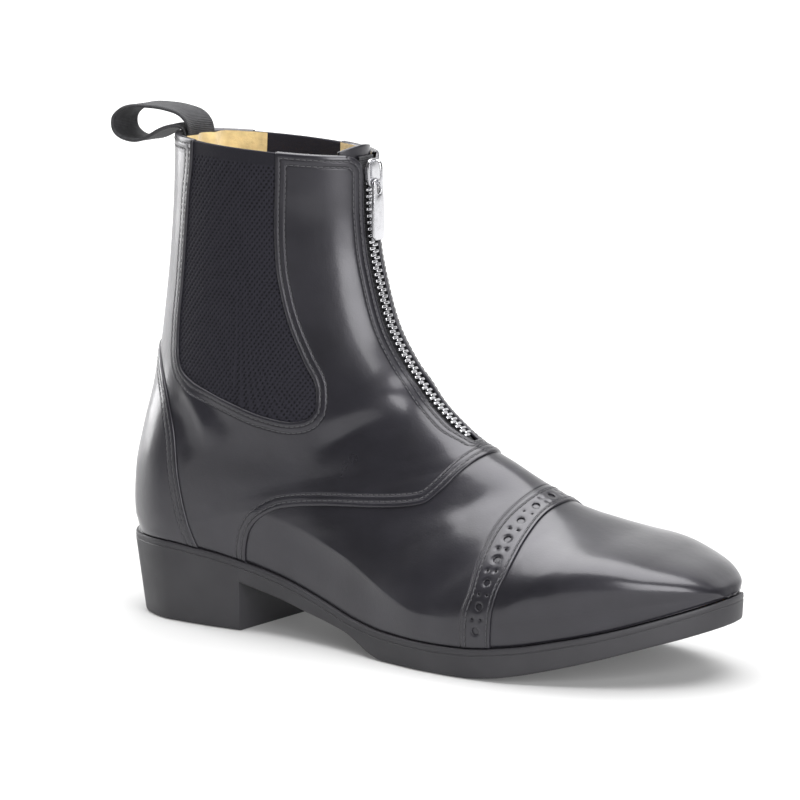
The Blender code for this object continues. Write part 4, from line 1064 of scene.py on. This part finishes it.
def make_gore(name, side):
    """A knitted panel with a hem, as a closed sheet."""
    turns = np.linspace(*GORE_TURNS, 190) * side
    rows = np.linspace(*GORE_ROWS, 300)
    uv, tris = flat_grid(rows, turns, [from_line(GORE_EDGE, 1.0, -GORE_UNDERLAP)])
    points = upper_point(uv[:, 0], uv[:, 1])
    hem = 1 - eased(from_collar(uv), HEM_DEPTH - HEM_SOFTNESS, HEM_DEPTH + HEM_SOFTNESS)
    level = GORE_FACE + KNIT_DEPTH * knit(points) * (1 - hem) + HEM_RISE * hem
    outer = upper_surface(uv[:, 0], uv[:, 1], level)
    inner = upper_surface(uv[:, 0], uv[:, 1], np.full(len(uv), GORE_BACK))
    edges = open_edges(tris)
    count = len(uv)
    walls = np.concatenate([
        np.stack([edges[:, 1], edges[:, 0], edges[:, 0] + count], 1),
        np.stack([edges[:, 1], edges[:, 0] + count, edges[:, 1] + count], 1),
    ])
    faces = np.concatenate([tris, tris[:, ::-1] + count, walls])
    # the knit's height, which also sets the painted shade in its gaps
    knots = np.concatenate([knit(points) * (1 - hem) + HEM_SHADE * hem, np.ones(count)])
    faces = faces if side > 0 else faces[:, ::-1]
    gore = mesh_piece(name + "_knit", np.concatenate([outer, inner]), faces, (("knot", knots),))
    gore.data.materials.append(elastic)
    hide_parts(name)
    print(name, len(faces), "faces")


make_gore("gore_outer", -1)
make_gore("gore_inner", 1)

# %% [markdown]
# ## The zip
# A metal zip is two woven tapes with a tooth clamped on each edge in turn. The teeth of the two sides
# stand half a pitch apart. They are one mesh, made by copying a small pattern tooth along the front ridge
# of the form.


# %% The front ridge
def ridge_frame(row):
    """Place, direction and outward normal of the ridge at a row, in side view."""
    small = 1e-2
    rows = np.array([row, max(row - small, 0.0), row + small])
    x, z = smooth(rows, ROW_KNOTS, FRONT_X), smooth(rows, ROW_KNOTS, FRONT_Z)
    tangent = np.array([x[2] - x[1], z[2] - z[1]])
    tangent /= np.linalg.norm(tangent)
    return np.array([x[0], z[0]]), tangent, np.array([-tangent[1], tangent[0]])


def tube_faces(rings, count, ends=True):
    """Quads between rings of count points each, with a face on both ends."""
    faces = []
    for i in range(rings - 1):
        for j in range(count):
            a, b = i * count + j, i * count + (j + 1) % count
            faces.append((a, b, b + count, a + count))
    if ends:
        faces.append(tuple(range(count))[::-1])
        faces.append(tuple(range((rings - 1) * count, rings * count)))
    return faces


def swept(name, rows, profile):
    """Carries a closed profile of (y, level) points, given for each row, down the ridge."""
    points = []
    for row in rows:
        place, _, normal = ridge_frame(row)
        for y, level in profile(row):
            x, z = place + normal * level
            points.append((x, y, z))
    return mesh_piece(name, points, tube_faces(len(rows), len(profile(rows[0]))))


# %% Tapes
WEBBING_COLOUR = (0.026, 0.026, 0.029)
webbing = finish("webbing", WEBBING_COLOUR, 0.75)
place = node(webbing, "ShaderNodeTexCoord").outputs["Object"]
weave = node(webbing, "ShaderNodeTexWave", (("Vector", place),), Scale=330.0, Distortion=1.0,
             bands_direction="Z")
mottled(webbing, WEBBING_COLOUR, 0.3, 700.0)
bump(webbing, [(weave.outputs["Fac"], 0.5, 0.0004), (noise(webbing, 1500.0), 0.3, 0.0003)])

TAPE_BACK, TAPE_FACE = -2.9, -2.1
TAPE_NEAR = 0.15              # half the gap between the two tapes
TAPE_MARGIN = 0.1
TAPE_ROWS = (0.0, SLIT_END_ROW - 0.05)
for side, label in ((-1, "outer"), (1, "inner")):
    def tape_profile(row, side=side):
        wide = float(slit_half_width(row)) - TAPE_MARGIN
        shape = [(TAPE_NEAR, TAPE_FACE), (TAPE_NEAR, TAPE_BACK), (wide, TAPE_BACK), (wide, TAPE_FACE)]
        return [(side * y, level) for y, level in (shape if side > 0 else shape[::-1])]

    tape = swept("zip_tape_" + label, np.linspace(*TAPE_ROWS, 90), tape_profile)
    tape.data.materials.append(webbing)
    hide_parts("zip_tape")

# %% Teeth
METAL_COLOUR = (0.58, 0.58, 0.60)
metal = finish("bright_plate", METAL_COLOUR, 0.18, 1.0)
feed(metal, "Roughness", ranged(metal, noise(metal, 400.0), 0.12, 0.28))
TOOTH_PITCH = 2.7
TOOTH = (0.6, 1.9, 0.75)      # half sizes: along the chain, across it, and in depth
TOOTH_ASIDE, TOOTH_LEVEL = 1.05, -0.7
TOOTH_NARROWING = 0.25        # the share that its inner end loses
TOOTH_ROUNDING = 0.45         # bevel of the pattern block, whose half sizes are 1
CHAIN_ROWS = (0.62, SLIT_END_ROW - 0.28)


def pattern_tooth():
    """A small block with rounded corners, as points and faces."""
    work = bmesh.new()
    bmesh.ops.create_cube(work, size=2.0)
    bmesh.ops.bevel(work, geom=list(work.edges), offset=TOOTH_ROUNDING, segments=2, affect="EDGES",
                    profile=0.6)
    bmesh.ops.triangulate(work, faces=work.faces)
    work.verts.ensure_lookup_table()
    points = np.array([v.co[:] for v in work.verts])
    faces = np.array([[v.index for v in f.verts] for f in work.faces])
    work.free()
    return points, faces


tooth_points, tooth_faces = pattern_tooth()
fine_rows = np.linspace(*CHAIN_ROWS, 900)
ridge_line = np.stack([smooth(fine_rows, ROW_KNOTS, FRONT_X), smooth(fine_rows, ROW_KNOTS, FRONT_Z)], 1)
ridge_run_down = run_along(ridge_line)
all_points, all_faces = [], []
tooth_count = int(ridge_run_down[-1] / (TOOTH_PITCH / 2))
for number in range(tooth_count):
    row = float(np.interp(number * TOOTH_PITCH / 2, ridge_run_down, fine_rows))
    middle_place, tangent, normal = ridge_frame(row)
    side = 1 if number % 2 else -1
    shape = tooth_points * np.array(TOOTH) + np.array([0.0, side * TOOTH_ASIDE, TOOTH_LEVEL])
    narrow = 1.0 - TOOTH_NARROWING * np.clip(-side * shape[:, 1], 0, 1)
    along = shape[:, 0] * narrow
    x = middle_place[0] + along * tangent[0] + shape[:, 2] * normal[0]
    z = middle_place[1] + along * tangent[1] + shape[:, 2] * normal[1]
    all_faces.append(tooth_faces + len(tooth_points) * number)
    all_points.append(np.stack([x, shape[:, 1], z], 1))
teeth = mesh_piece("zip_chain", np.concatenate(all_points), np.concatenate(all_faces))
teeth.data.materials.append(metal)
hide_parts("zip_teeth")
print("teeth:", tooth_count)

# %% [markdown]
# ## Slider and pull tab
# Both are small castings with rounded edges. They keep the CAD outlines and get a bevel, and the bridge
# becomes a round arch. The tab rides on its own body, because it swings on the bridge.

# %% Castings
RIDGE_X, PLATE_BACK, PLATE_FRONT = 117.46, 118.06, 119.56
AXIS_X = PLATE_FRONT + 1.2
PLATE_OUTLINE = (             # z, half width
    (187.0, 2.6), (188.2, 3.6), (192.0, 4.2), (195.5, 4.5), (197.8, 4.0), (199.0, 2.4),
)
FLANGE_SIDES = (3.45, 4.05)
FLANGE_HEIGHTS = (190.2, 195.4)
TAB_OUTLINE = (               # z, half width
    (165.5, 2.4), (166.1, 3.7), (168.0, 4.1), (178.0, 4.0), (184.0, 3.6), (189.4, 3.4), (190.7, 2.4),
)
TAB_HALF_DEPTH = 0.7
EYE_RADIUS = 1.6
EYE_Z = 186.9
EYE_STRETCH = (-0.9, 0.8)     # the eye is a slot with round ends
OUTLINE_STEPS = 4


def cast_piece(name, outline, depth, hole=None, rounding=0.5, body="boot"):
    """A front-view outline in y and z, carried between two depths in x, with rounded edges."""
    work = bmesh.new()
    loops = [outline] + ([hole] if hole else [])
    edges = []
    for loop in loops:
        corners = [work.verts.new((depth[0], y, z)) for y, z in loop]
        edges += [work.edges.new((corners[i], corners[(i + 1) % len(corners)])) for i in range(len(corners))]
    made = bmesh.ops.triangle_fill(work, edges=edges, use_beauty=True)
    faces = [g for g in made["geom"] if isinstance(g, bmesh.types.BMFace)]
    lifted = bmesh.ops.extrude_face_region(work, geom=faces)
    for v in [g for g in lifted["geom"] if isinstance(g, bmesh.types.BMVert)]:
        v.co.x = depth[1]
    bmesh.ops.recalc_face_normals(work, faces=work.faces)
    for v in work.verts:
        v.co = ((v.co.x - ORIGIN_X) * MM, v.co.y * MM, v.co.z * MM)
    mesh = bpy.data.meshes.new(name)
    work.to_mesh(mesh)
    work.free()
    piece = bpy.data.objects.new(name, mesh)
    bpy.context.scene.collection.objects.link(piece)
    bevel = piece.modifiers.new("rounded", "BEVEL")
    bevel.width = rounding * MM
    bevel.segments = 3
    bevel.limit_method = "ANGLE"
    bevel.angle_limit = math.radians(50)
    mesh.shade_smooth()
    piece.data.materials.append(metal)
    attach(piece, body)
    return piece


def rounded_outline(half_widths, steps=OUTLINE_STEPS):
    """A symmetric closed outline from (z, half width) places, bottom to top."""
    table = np.array(half_widths, float)
    z = np.linspace(table[0, 0], table[-1, 0], steps * (len(table) - 1) + 1)
    y = smooth(z, table[:, 0], table[:, 1])
    right = list(zip(y, z))
    return right + [(-a, b) for a, b in reversed(right)]


slider = cast_piece(
    "slider_plate", rounded_outline(PLATE_OUTLINE), (PLATE_BACK, PLATE_FRONT),
)
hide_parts("zip_slider")
for side in (-1, 1):
    near, far = side * FLANGE_SIDES[0], side * FLANGE_SIDES[1]
    foot, head = FLANGE_HEIGHTS
    cast_piece(
        "slider_flange_" + ("outer" if side < 0 else "inner"),
        [(near, foot), (far, foot), (far, head), (near, head)],
        (RIDGE_X - 0.8, PLATE_BACK + 0.4), rounding=0.2,
    )

# %% Bridge
BRIDGE_PATH = ((PLATE_FRONT - 0.4, 198.0), (PLATE_FRONT + 1.4, 198.2), (PLATE_FRONT + 2.6, 197.2),
               (PLATE_FRONT + 3.05, 194.5), (PLATE_FRONT + 3.1, 191.0), (PLATE_FRONT + 2.6, 188.6),
               (PLATE_FRONT + 1.4, 187.9), (PLATE_FRONT - 0.4, 188.0))
BRIDGE_SIDES = 12
BRIDGE_HALF_DEPTH, BRIDGE_HALF_WIDTH = 0.5, 0.95


def directions(line):
    """Unit steps along a line in side view."""
    run = np.gradient(line, axis=0)
    return run / np.linalg.norm(run, axis=1, keepdims=True)


bridge_line = smooth_path(BRIDGE_PATH, 28)
bridge_points = []
for (x, z), (dx, dz) in zip(bridge_line, directions(bridge_line)):
    for angle in np.linspace(0, 2 * math.pi, BRIDGE_SIDES + 1)[:-1]:
        out = BRIDGE_HALF_DEPTH * math.cos(angle)
        bridge_points.append((x - dz * out, BRIDGE_HALF_WIDTH * math.sin(angle), z + dx * out))
bridge_faces = tube_faces(len(bridge_line), BRIDGE_SIDES, ends=False)
bridge = mesh_piece("slider_bridge", bridge_points, bridge_faces)
bridge.data.materials.append(metal)
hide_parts("zip_slider")

# %% Pull tab
eye = []
for a in np.linspace(0, 2 * math.pi, 17)[:-1]:
    stretch = EYE_STRETCH[math.sin(a) > 0]
    eye.append((EYE_RADIUS * math.cos(a), EYE_Z + EYE_RADIUS * math.sin(a) + stretch))
tab = cast_piece(
    "pull_tab", rounded_outline(TAB_OUTLINE), (AXIS_X - TAB_HALF_DEPTH, AXIS_X + TAB_HALF_DEPTH), hole=eye,
    rounding=0.4, body="pull",
)
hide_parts("zip_pull")
print("tab faces:", len(tab.data.polygons))

# %% [markdown]
# ## The guard behind the zip
# A tongue of soft leather keeps the zip off the leg. Its top edge stands a little above the collar.

# %% Guard
leather_plain = leather("leather_plain", ())
GUARD_LEVELS = (-4.8, -3.4)
GUARD_HALF_TURN = 2 / 12
GUARD_RISE = 4.4
GUARD_ROW_LENGTH = 18.0       # millimetres in a row above the collar
GUARD_CORNER = 0.35           # the share of the rise that is left at its sides
GUARD_WAVE = 0.1


def guard_surface(row, turn, level):
    """Rows above the collar go on straight up."""
    inside = np.clip(row, 0, TOE_ROW)
    points = upper_surface(inside, turn, level)
    ahead = upper_surface(np.full_like(inside, 0.3), turn, level)
    first = upper_surface(np.zeros_like(inside), turn, level)
    rise = (first - ahead) / np.linalg.norm(first - ahead, axis=-1, keepdims=True)
    return np.where((row < 0)[..., None], first + rise * (-row * GUARD_ROW_LENGTH)[..., None], points)


rows_above = np.linspace(-GUARD_RISE / GUARD_ROW_LENGTH, 0, 7)[:-1]
guard_rows = np.concatenate([rows_above, np.linspace(0, SLIT_END_ROW + 0.5, 90)])
guard_turns = np.linspace(-GUARD_HALF_TURN, GUARD_HALF_TURN, 25)
guard_row, guard_turn = np.meshgrid(guard_rows, guard_turns, indexing="ij")
crown = 1 - (guard_turn / GUARD_HALF_TURN) ** 2
guard_row = np.where(guard_row < 0, guard_row * (GUARD_CORNER + (1 - GUARD_CORNER) * crown), guard_row)
across = len(guard_turns)
layers = []
wave = GUARD_WAVE * np.sin(guard_row * 2.1 + 3 * guard_turn)
for depth in GUARD_LEVELS:
    layers.append(guard_surface(guard_row, guard_turn, depth + wave).reshape(-1, 3))
count = guard_row.size
guard_faces = []
for i in range(len(guard_rows) - 1):
    for j in range(across - 1):
        a = i * across + j
        guard_faces.append((a, a + 1, a + across + 1, a + across))
        guard_faces.append((a + count, a + count + across, a + count + across + 1, a + count + 1))
rim = list(range(across)) + [i * across + across - 1 for i in range(1, len(guard_rows))]
rim += [(len(guard_rows) - 1) * across + j for j in range(across - 2, -1, -1)]
rim += [i * across for i in range(len(guard_rows) - 2, 0, -1)]
for a, b in zip(rim, rim[1:] + rim[:1]):
    guard_faces.append((b, a, a + count, b + count))
guard = mesh_piece("guard", np.concatenate(layers), guard_faces)
guard.data.materials.append(leather_plain)
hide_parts("zip_guard")

# %% [markdown]
# ## The pull loop
# A strip of webbing, bent over and sewn into the back of the collar. It follows the CAD path with many
# more steps. A heavier thread runs along each edge.

# %% Pull loop
LOOP_WIDTH = 18.0
LOOP_THICKNESS = 1.6
LOOP_BEND = 3.3
LOOP_PATH = (
    (28.2, 189.0), (28.7, 204.0), (28.2, 208.6), (25.6, 212.2), (21.0, 214.8), (14.0, 216.2), (5.0, 216.4),
    (-1.5, 215.6), (-6.4, 213.2), (-9.0, 210.0), (-9.0, 206.6), (-7.0, 203.8), (-3.0, 202.0), (1.8, 201.4),
    (7.0, 202.4), (12.6, 205.0), (17.6, 207.6), (20.8, 208.7), (23.7, 208.7), (26.1, 207.0), (26.7, 203.6),
    (26.2, 189.0),
)
LOOP_STEPS = 220
BEND_REACH = (14.0, 24.0)     # the loop takes the round of the collar between these x
RIB_PITCH = 0.75
EVENING_ROUNDS = 14
# Places across half the strip's ring, as shares of its half width, and its thickness there.
CROSS = np.array([-1.0, -0.97, -0.9, -0.84, -0.78, -0.4, 0.0, 0.4, 0.78, 0.84, 0.9, 0.97, 1.0])
SWELL = np.array([0.35, 0.75, 1.0, 1.0, 0.8, 0.86, 0.88, 0.86, 0.8, 1.0, 1.0, 0.75, 0.35])


def evened(path):
    """Softens the corners that a curve through few points keeps."""
    result = path.copy()
    for _ in range(EVENING_ROUNDS):
        result[1:-1] = 0.25 * result[:-2] + 0.5 * result[1:-1] + 0.25 * result[2:]
    return result


loop_line = evened(smooth_path(LOOP_PATH, LOOP_STEPS))
loop_points = []
for (x, z), (dx, dz) in zip(loop_line, directions(loop_line)):
    bend = LOOP_BEND * float(eased(x, *BEND_REACH))
    ring = [(1, s, w) for s, w in zip(CROSS, SWELL)] + [(-1, s, w) for s, w in zip(CROSS[::-1], SWELL[::-1])]
    for sign, share, swell in ring:
        out = sign * swell * LOOP_THICKNESS / 2
        loop_points.append((x - dz * out + bend * abs(share) ** 1.5, share * LOOP_WIDTH / 2, z + dx * out))
count = 2 * len(CROSS)
loop_faces = tube_faces(LOOP_STEPS + 1, count)
loop_run = np.repeat(run_along(loop_line), count)
loop = mesh_piece("webbing_loop", loop_points, loop_faces, (("along", loop_run),))
strap = finish("strap_webbing", WEBBING_COLOUR, 0.7)
mottled(strap, WEBBING_COLOUR, 0.3, 600.0)
far = node(strap, "ShaderNodeAttribute", attribute_name="along").outputs["Fac"]
ribs = maths(strap, "SINE", maths(strap, "MULTIPLY", far, 2 * math.pi / RIB_PITCH))
bump(strap, [(ribs, 0.5, 0.0002), (noise(strap, 1500.0), 0.4, 0.0003)])
loop.data.materials.append(strap)
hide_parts("pull_loop")

# %% [markdown]
# ## The sole
# A moulded unit: the heel, the waist and the forepart in one. Its side is a stack of outlines. Near the
# top a fine groove runs around it, and every edge is slightly rounded.

# %% Rubber and sole
RUBBER_COLOUR = (0.030, 0.029, 0.033)
rubber = finish("rubber", RUBBER_COLOUR, 0.55)
mottled(rubber, RUBBER_COLOUR, 0.12, 40.0)
feed(rubber, "Roughness", ranged(rubber, noise(rubber, 60.0, 4.0), 0.48, 0.62))
bump(rubber, [(noise(rubber, 1400.0, 3.0), 0.15, 0.0002), (noise(rubber, 70.0, 2.0), 0.05, 0.0008)])
BREAST_LENGTH = 0.0022        # share of the outline over which the heel ends and the waist starts
HEEL_TAPER = (3.6, 1.4)       # how far the heel's foot stands in, at the back and at the breast
FORE_TAPER = 0.4
SKEW_REACH = (20, 125)
SOLE_RINGS = (                # inset, share of the way down to the tread's edge, millimetres below the top
    (2.0, 0.0, 0.0), (0.55, 0.0, 0.02), (0.2, 0.0, 0.18), (0.03, 0.0, 0.55), (0.0, 0.0, 1.3), (0.0, 0.0, 2.1),
    (0.22, 0.0, 2.35), (0.22, 0.0, 2.6), (0.0, 0.0, 2.85), (0.0, 0.0, 3.3), (0.0, 0.3, 3.3), (0.0, 0.65, 3.3),
    (0.0, 1.0, 0.0),
)
TREAD_RINGS = ((0.0, 1.3), (0.12, 0.8), (0.42, 0.35), (0.9, 0.06), (1.5, 0.0))


def sole_stations(count):
    """Even stations with extra ones at the heel's breast."""
    stations = np.linspace(0, 1, count + 1)
    breast = float(station_of(HEEL_BREAST))
    stations = stations[np.abs(stations - breast) > 1.6 * BREAST_LENGTH]
    extra = [breast - 0.001, breast, breast + BREAST_LENGTH, breast + BREAST_LENGTH + 0.001]
    return np.sort(np.concatenate([stations, extra])), breast


stations, breast = sole_stations(420)
station_x = x_of(stations)
on_heel = stations <= breast + 1e-9
towards_breast = eased(station_x, 0, HEEL_BREAST)
heel_taper = HEEL_TAPER[0] * (1 - towards_breast) + HEEL_TAPER[1] * towards_breast
taper = np.where(on_heel, heel_taper, FORE_TAPER)
tread_z = np.where(on_heel, 0.0, smooth(station_x, TREAD[:, 0], TREAD[:, 1]))
skew = BREAST_SKEW * eased(station_x, SKEW_REACH[0], HEEL_BREAST)
skew = skew * (1 - eased(station_x, HEEL_BREAST, SKEW_REACH[1]))


def sole_ring(side, inset, height):
    """Outline points moved in by inset; height gives z from the point's x."""
    x, y, _, _ = sole_edge(stations, side, inset)
    y = y.copy()
    y[0] = 0.0
    y[-1] = TOE_TIP_Y
    if side > 0:
        x = x + skew
    return np.stack([x, y, height(x)], 1)


def closed_ring(outer, inner):
    """Joins both sides at the heel and at the toe."""
    return np.concatenate([outer, inner[1:-1][::-1]])


sole_loops = []
for inset, share, below in SOLE_RINGS:
    def height(x, share=share, below=below):
        top = seam_height(x) - below
        low = tread_z + TREAD_RINGS[0][1]
        return top + (low - top) * share

    extra_inset = inset + taper * share
    sole_loops.append(closed_ring(sole_ring(-1, extra_inset, height), sole_ring(1, extra_inset, height)))
for inset, rise in TREAD_RINGS[1:]:
    sole_loops.append(closed_ring(
        sole_ring(-1, taper + inset, lambda x, rise=rise: tread_z + rise),
        sole_ring(1, taper + inset, lambda x, rise=rise: tread_z + rise),
    ))
count = len(sole_loops[0])
sole_faces = tube_faces(len(sole_loops), count, ends=False)
half = len(stations)
for first, flip in ((0, False), ((len(sole_loops) - 1) * count, True)):
    for i in range(half - 1):
        outer_a, outer_b = first + i, first + i + 1
        inner_a = first + (count - i if i else 0)
        inner_b = first + (count - i - 1 if i + 1 < half - 1 else half - 1)
        face = [k for n, k in enumerate((outer_a, inner_a, inner_b, outer_b)) if k not in
                (outer_a, inner_a, inner_b, outer_b)[:n]]
        sole_faces.append(tuple(face[::-1] if flip else face))
sole = mesh_piece("unit_sole", np.concatenate(sole_loops), sole_faces)
sole.data.set_sharp_from_angle(angle=math.radians(40))
sole.data.materials.append(rubber)
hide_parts("outsole")
print("sole faces:", len(sole_faces))

# %% [markdown]
# ## The insole
# The covered board on the floor of the boot keeps its CAD solid, under the same suede as the lining.

# %% Insole
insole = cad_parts["insole"]
insole.data.materials.clear()
insole.data.materials.append(lining_suede)

# %% [markdown]
# ## Stitches
# Every seam is sewn twice. A stitch is a short fat thread that dives into the leather at both ends. The
# rows follow lines of constant distance from the panel's edge, and all stitches together are one mesh.

# %% Thread
THREAD_COLOUR = (0.055, 0.054, 0.060)
thread = finish("thread", THREAD_COLOUR, 0.55)
bump(thread, [(noise(thread, 2500.0), 0.3, 0.0002)])
STITCH_PITCH = 2.5
STITCH = (0.95, 0.24, 0.20)   # half sizes: along, across, height
STITCH_ARCH = 0.18            # how far its ends dive
STITCH_AHEAD = 0.9            # the place ahead that gives its direction
SHORTEST_CHAIN = 8
THREAD_RISE = 0.02
stitch_points, stitch_faces = pattern_tooth()
sewn_points, sewn_faces = [], []


def sew(uv, tris, value, distance, level_of):
    """Sets stitches along the line where value equals distance."""
    for chain in contour(uv, tris, value, distance):
        if len(chain) < SHORTEST_CHAIN:
            continue
        level = level_of(chain)
        points = upper_surface(chain[:, 0], chain[:, 1], level)
        normal = upper_normal(chain[:, 0], chain[:, 1])
        run = run_along(points)
        for at in np.arange(STITCH_PITCH, run[-1] - 1.0, STITCH_PITCH):
            here = place_at(at, run, points)
            forward = place_at(at + STITCH_AHEAD, run, points) - here
            up = place_at(at, run, normal)
            size = np.linalg.norm(forward)
            if size < 0.3:
                continue
            forward /= size
            aside = np.cross(up, forward)
            aside /= np.linalg.norm(aside)
            up = np.cross(forward, aside)
            shape = stitch_points * np.array(STITCH)
            arch = -STITCH_ARCH * (stitch_points[:, 0] ** 2)
            sewn_points.append(
                here + shape[:, :1] * forward + shape[:, 1:2] * aside + (shape[:, 2] + arch)[:, None] * up
            )
            sewn_faces.append(stitch_faces + len(stitch_points) * (len(sewn_points) - 1))


def level_at(base, edge_fields, rise=PUFF):
    """The height of a panel's face along a chain."""
    def level(chain):
        distance = np.min([field(chain) for field in edge_fields], axis=0)
        return puffed(base, distance, rise) + folds(upper_point(chain[:, 0], chain[:, 1])) + THREAD_RISE
    return level


# %% Rows of stitches
quarter_distance = np.min([field(quarter_uv) for field in quarter_edges], axis=0)
for distance in STITCH_ROWS:
    sew(quarter_uv, quarter_tris, quarter_distance, distance, level_at(QUARTER_LEVEL, quarter_edges))
counter_distance = in_counter(counter_uv)
for distance in STITCH_ROWS:
    sew(counter_uv, counter_tris, counter_distance, distance, level_at(COUNTER_LEVEL, [in_counter]))
band_only = [ahead_of_band, behind_cap]
on_band = level_at(VAMP_LEVEL + BAND_LIFT, band_only, BAND_PUFF)
sew(band_uv, band_tris, behind_cap(band_uv), BAND_ROW, on_band)
sew(band_uv, band_tris, ahead_of_band(band_uv), BAND_ROW, on_band)
stitches = mesh_piece("stitches", np.concatenate(sewn_points), np.concatenate(sewn_faces))
stitches.data.materials.append(thread)
print("stitches:", len(sewn_points))

# %% [markdown]
# ## The studio
# A white sweep and large soft lights. The boot is black, so what the eye reads is the reflection of the
# lights: a broad one from above and ahead, a tall one from behind on the left, and a dark side behind the
# camera.

# %% Floor and lights
floor_mesh = bpy.data.meshes.new("floor")
floor_points = []
FLOOR_HALF_WIDTH = 4.0
FLOOR_DROP = 0.0002
SWEEP = ((-3.0, 0.0), (1.2, 0.0), (1.6, 0.03), (1.9, 0.15), (2.1, 0.4), (2.2, 0.9), (2.2, 3.0))
look = (CAMERA_TARGET - CAMERA_PLACE).normalized()
level_length = math.hypot(look.x, look.y)
ahead_x, ahead_y = look.x / level_length, look.y / level_length
sweep_line = smooth_path(SWEEP, 60)
for run_out, rise in sweep_line:
    for aside in (-FLOOR_HALF_WIDTH, FLOOR_HALF_WIDTH):
        floor_points.append((run_out * ahead_x - aside * ahead_y, run_out * ahead_y + aside * ahead_x, rise))
floor_faces = [(2 * i, 2 * i + 1, 2 * i + 3, 2 * i + 2) for i in range(len(sweep_line) - 1)]
floor_mesh.from_pydata(floor_points, [], floor_faces)
floor_mesh.shade_smooth()
floor = bpy.data.objects.new("floor", floor_mesh)
bpy.context.scene.collection.objects.link(floor)
floor.location.z = -FLOOR_DROP
paper = finish("pale_paper", (0.50, 0.50, 0.50), 0.9)
paper_shader = paper.node_tree.nodes["Principled BSDF"]
paper_shader.inputs["Specular IOR Level"].default_value = 0.0
paper_shader.inputs["Emission Color"].default_value = (1.0, 1.0, 1.0, 1.0)
place = node(paper, "ShaderNodeTexCoord").outputs["Object"]
split = node(paper, "ShaderNodeSeparateXYZ", (("Vector", place),))
feed(paper, "Emission Strength", ranged(paper, split.outputs["Y"], 0.10, 0.80, 0.15, 0.9))
floor.data.materials.append(paper)


def soft_light(name, place, aim, width, height, power):
    data = bpy.data.lights.new(name, "AREA")
    data.shape = "RECTANGLE"
    data.size, data.size_y = width, height
    data.energy = power
    light = bpy.data.objects.new(name, data)
    light.location = place
    light.rotation_mode = "QUATERNION"
    light.rotation_quaternion = (Vector(aim) - Vector(place)).to_track_quat("-Z", "Y")
    bpy.context.scene.collection.objects.link(light)


soft_light("overhead", (0.1, 0.16, 1.6), (0.1, 0.16, 0.0), 2.0, 1.6, 60.0)
soft_light("right_panel", (1.35, -0.85, 0.62), (0.1, 0.0, 0.1), 1.0, 1.0, 22.0)
soft_light("left_back_panel", (-1.2, 0.15, 0.6), (0.0, 0.0, 0.1), 0.5, 1.2, 14.0)
world = bpy.data.worlds.new("studio")
world.use_nodes = True
background = world.node_tree.nodes["Background"]
background.inputs["Color"].default_value = (1.0, 1.0, 1.0, 1.0)
background.inputs["Strength"].default_value = 0.12
bpy.context.scene.world = world
bpy.context.scene.view_settings.view_transform = "Standard"
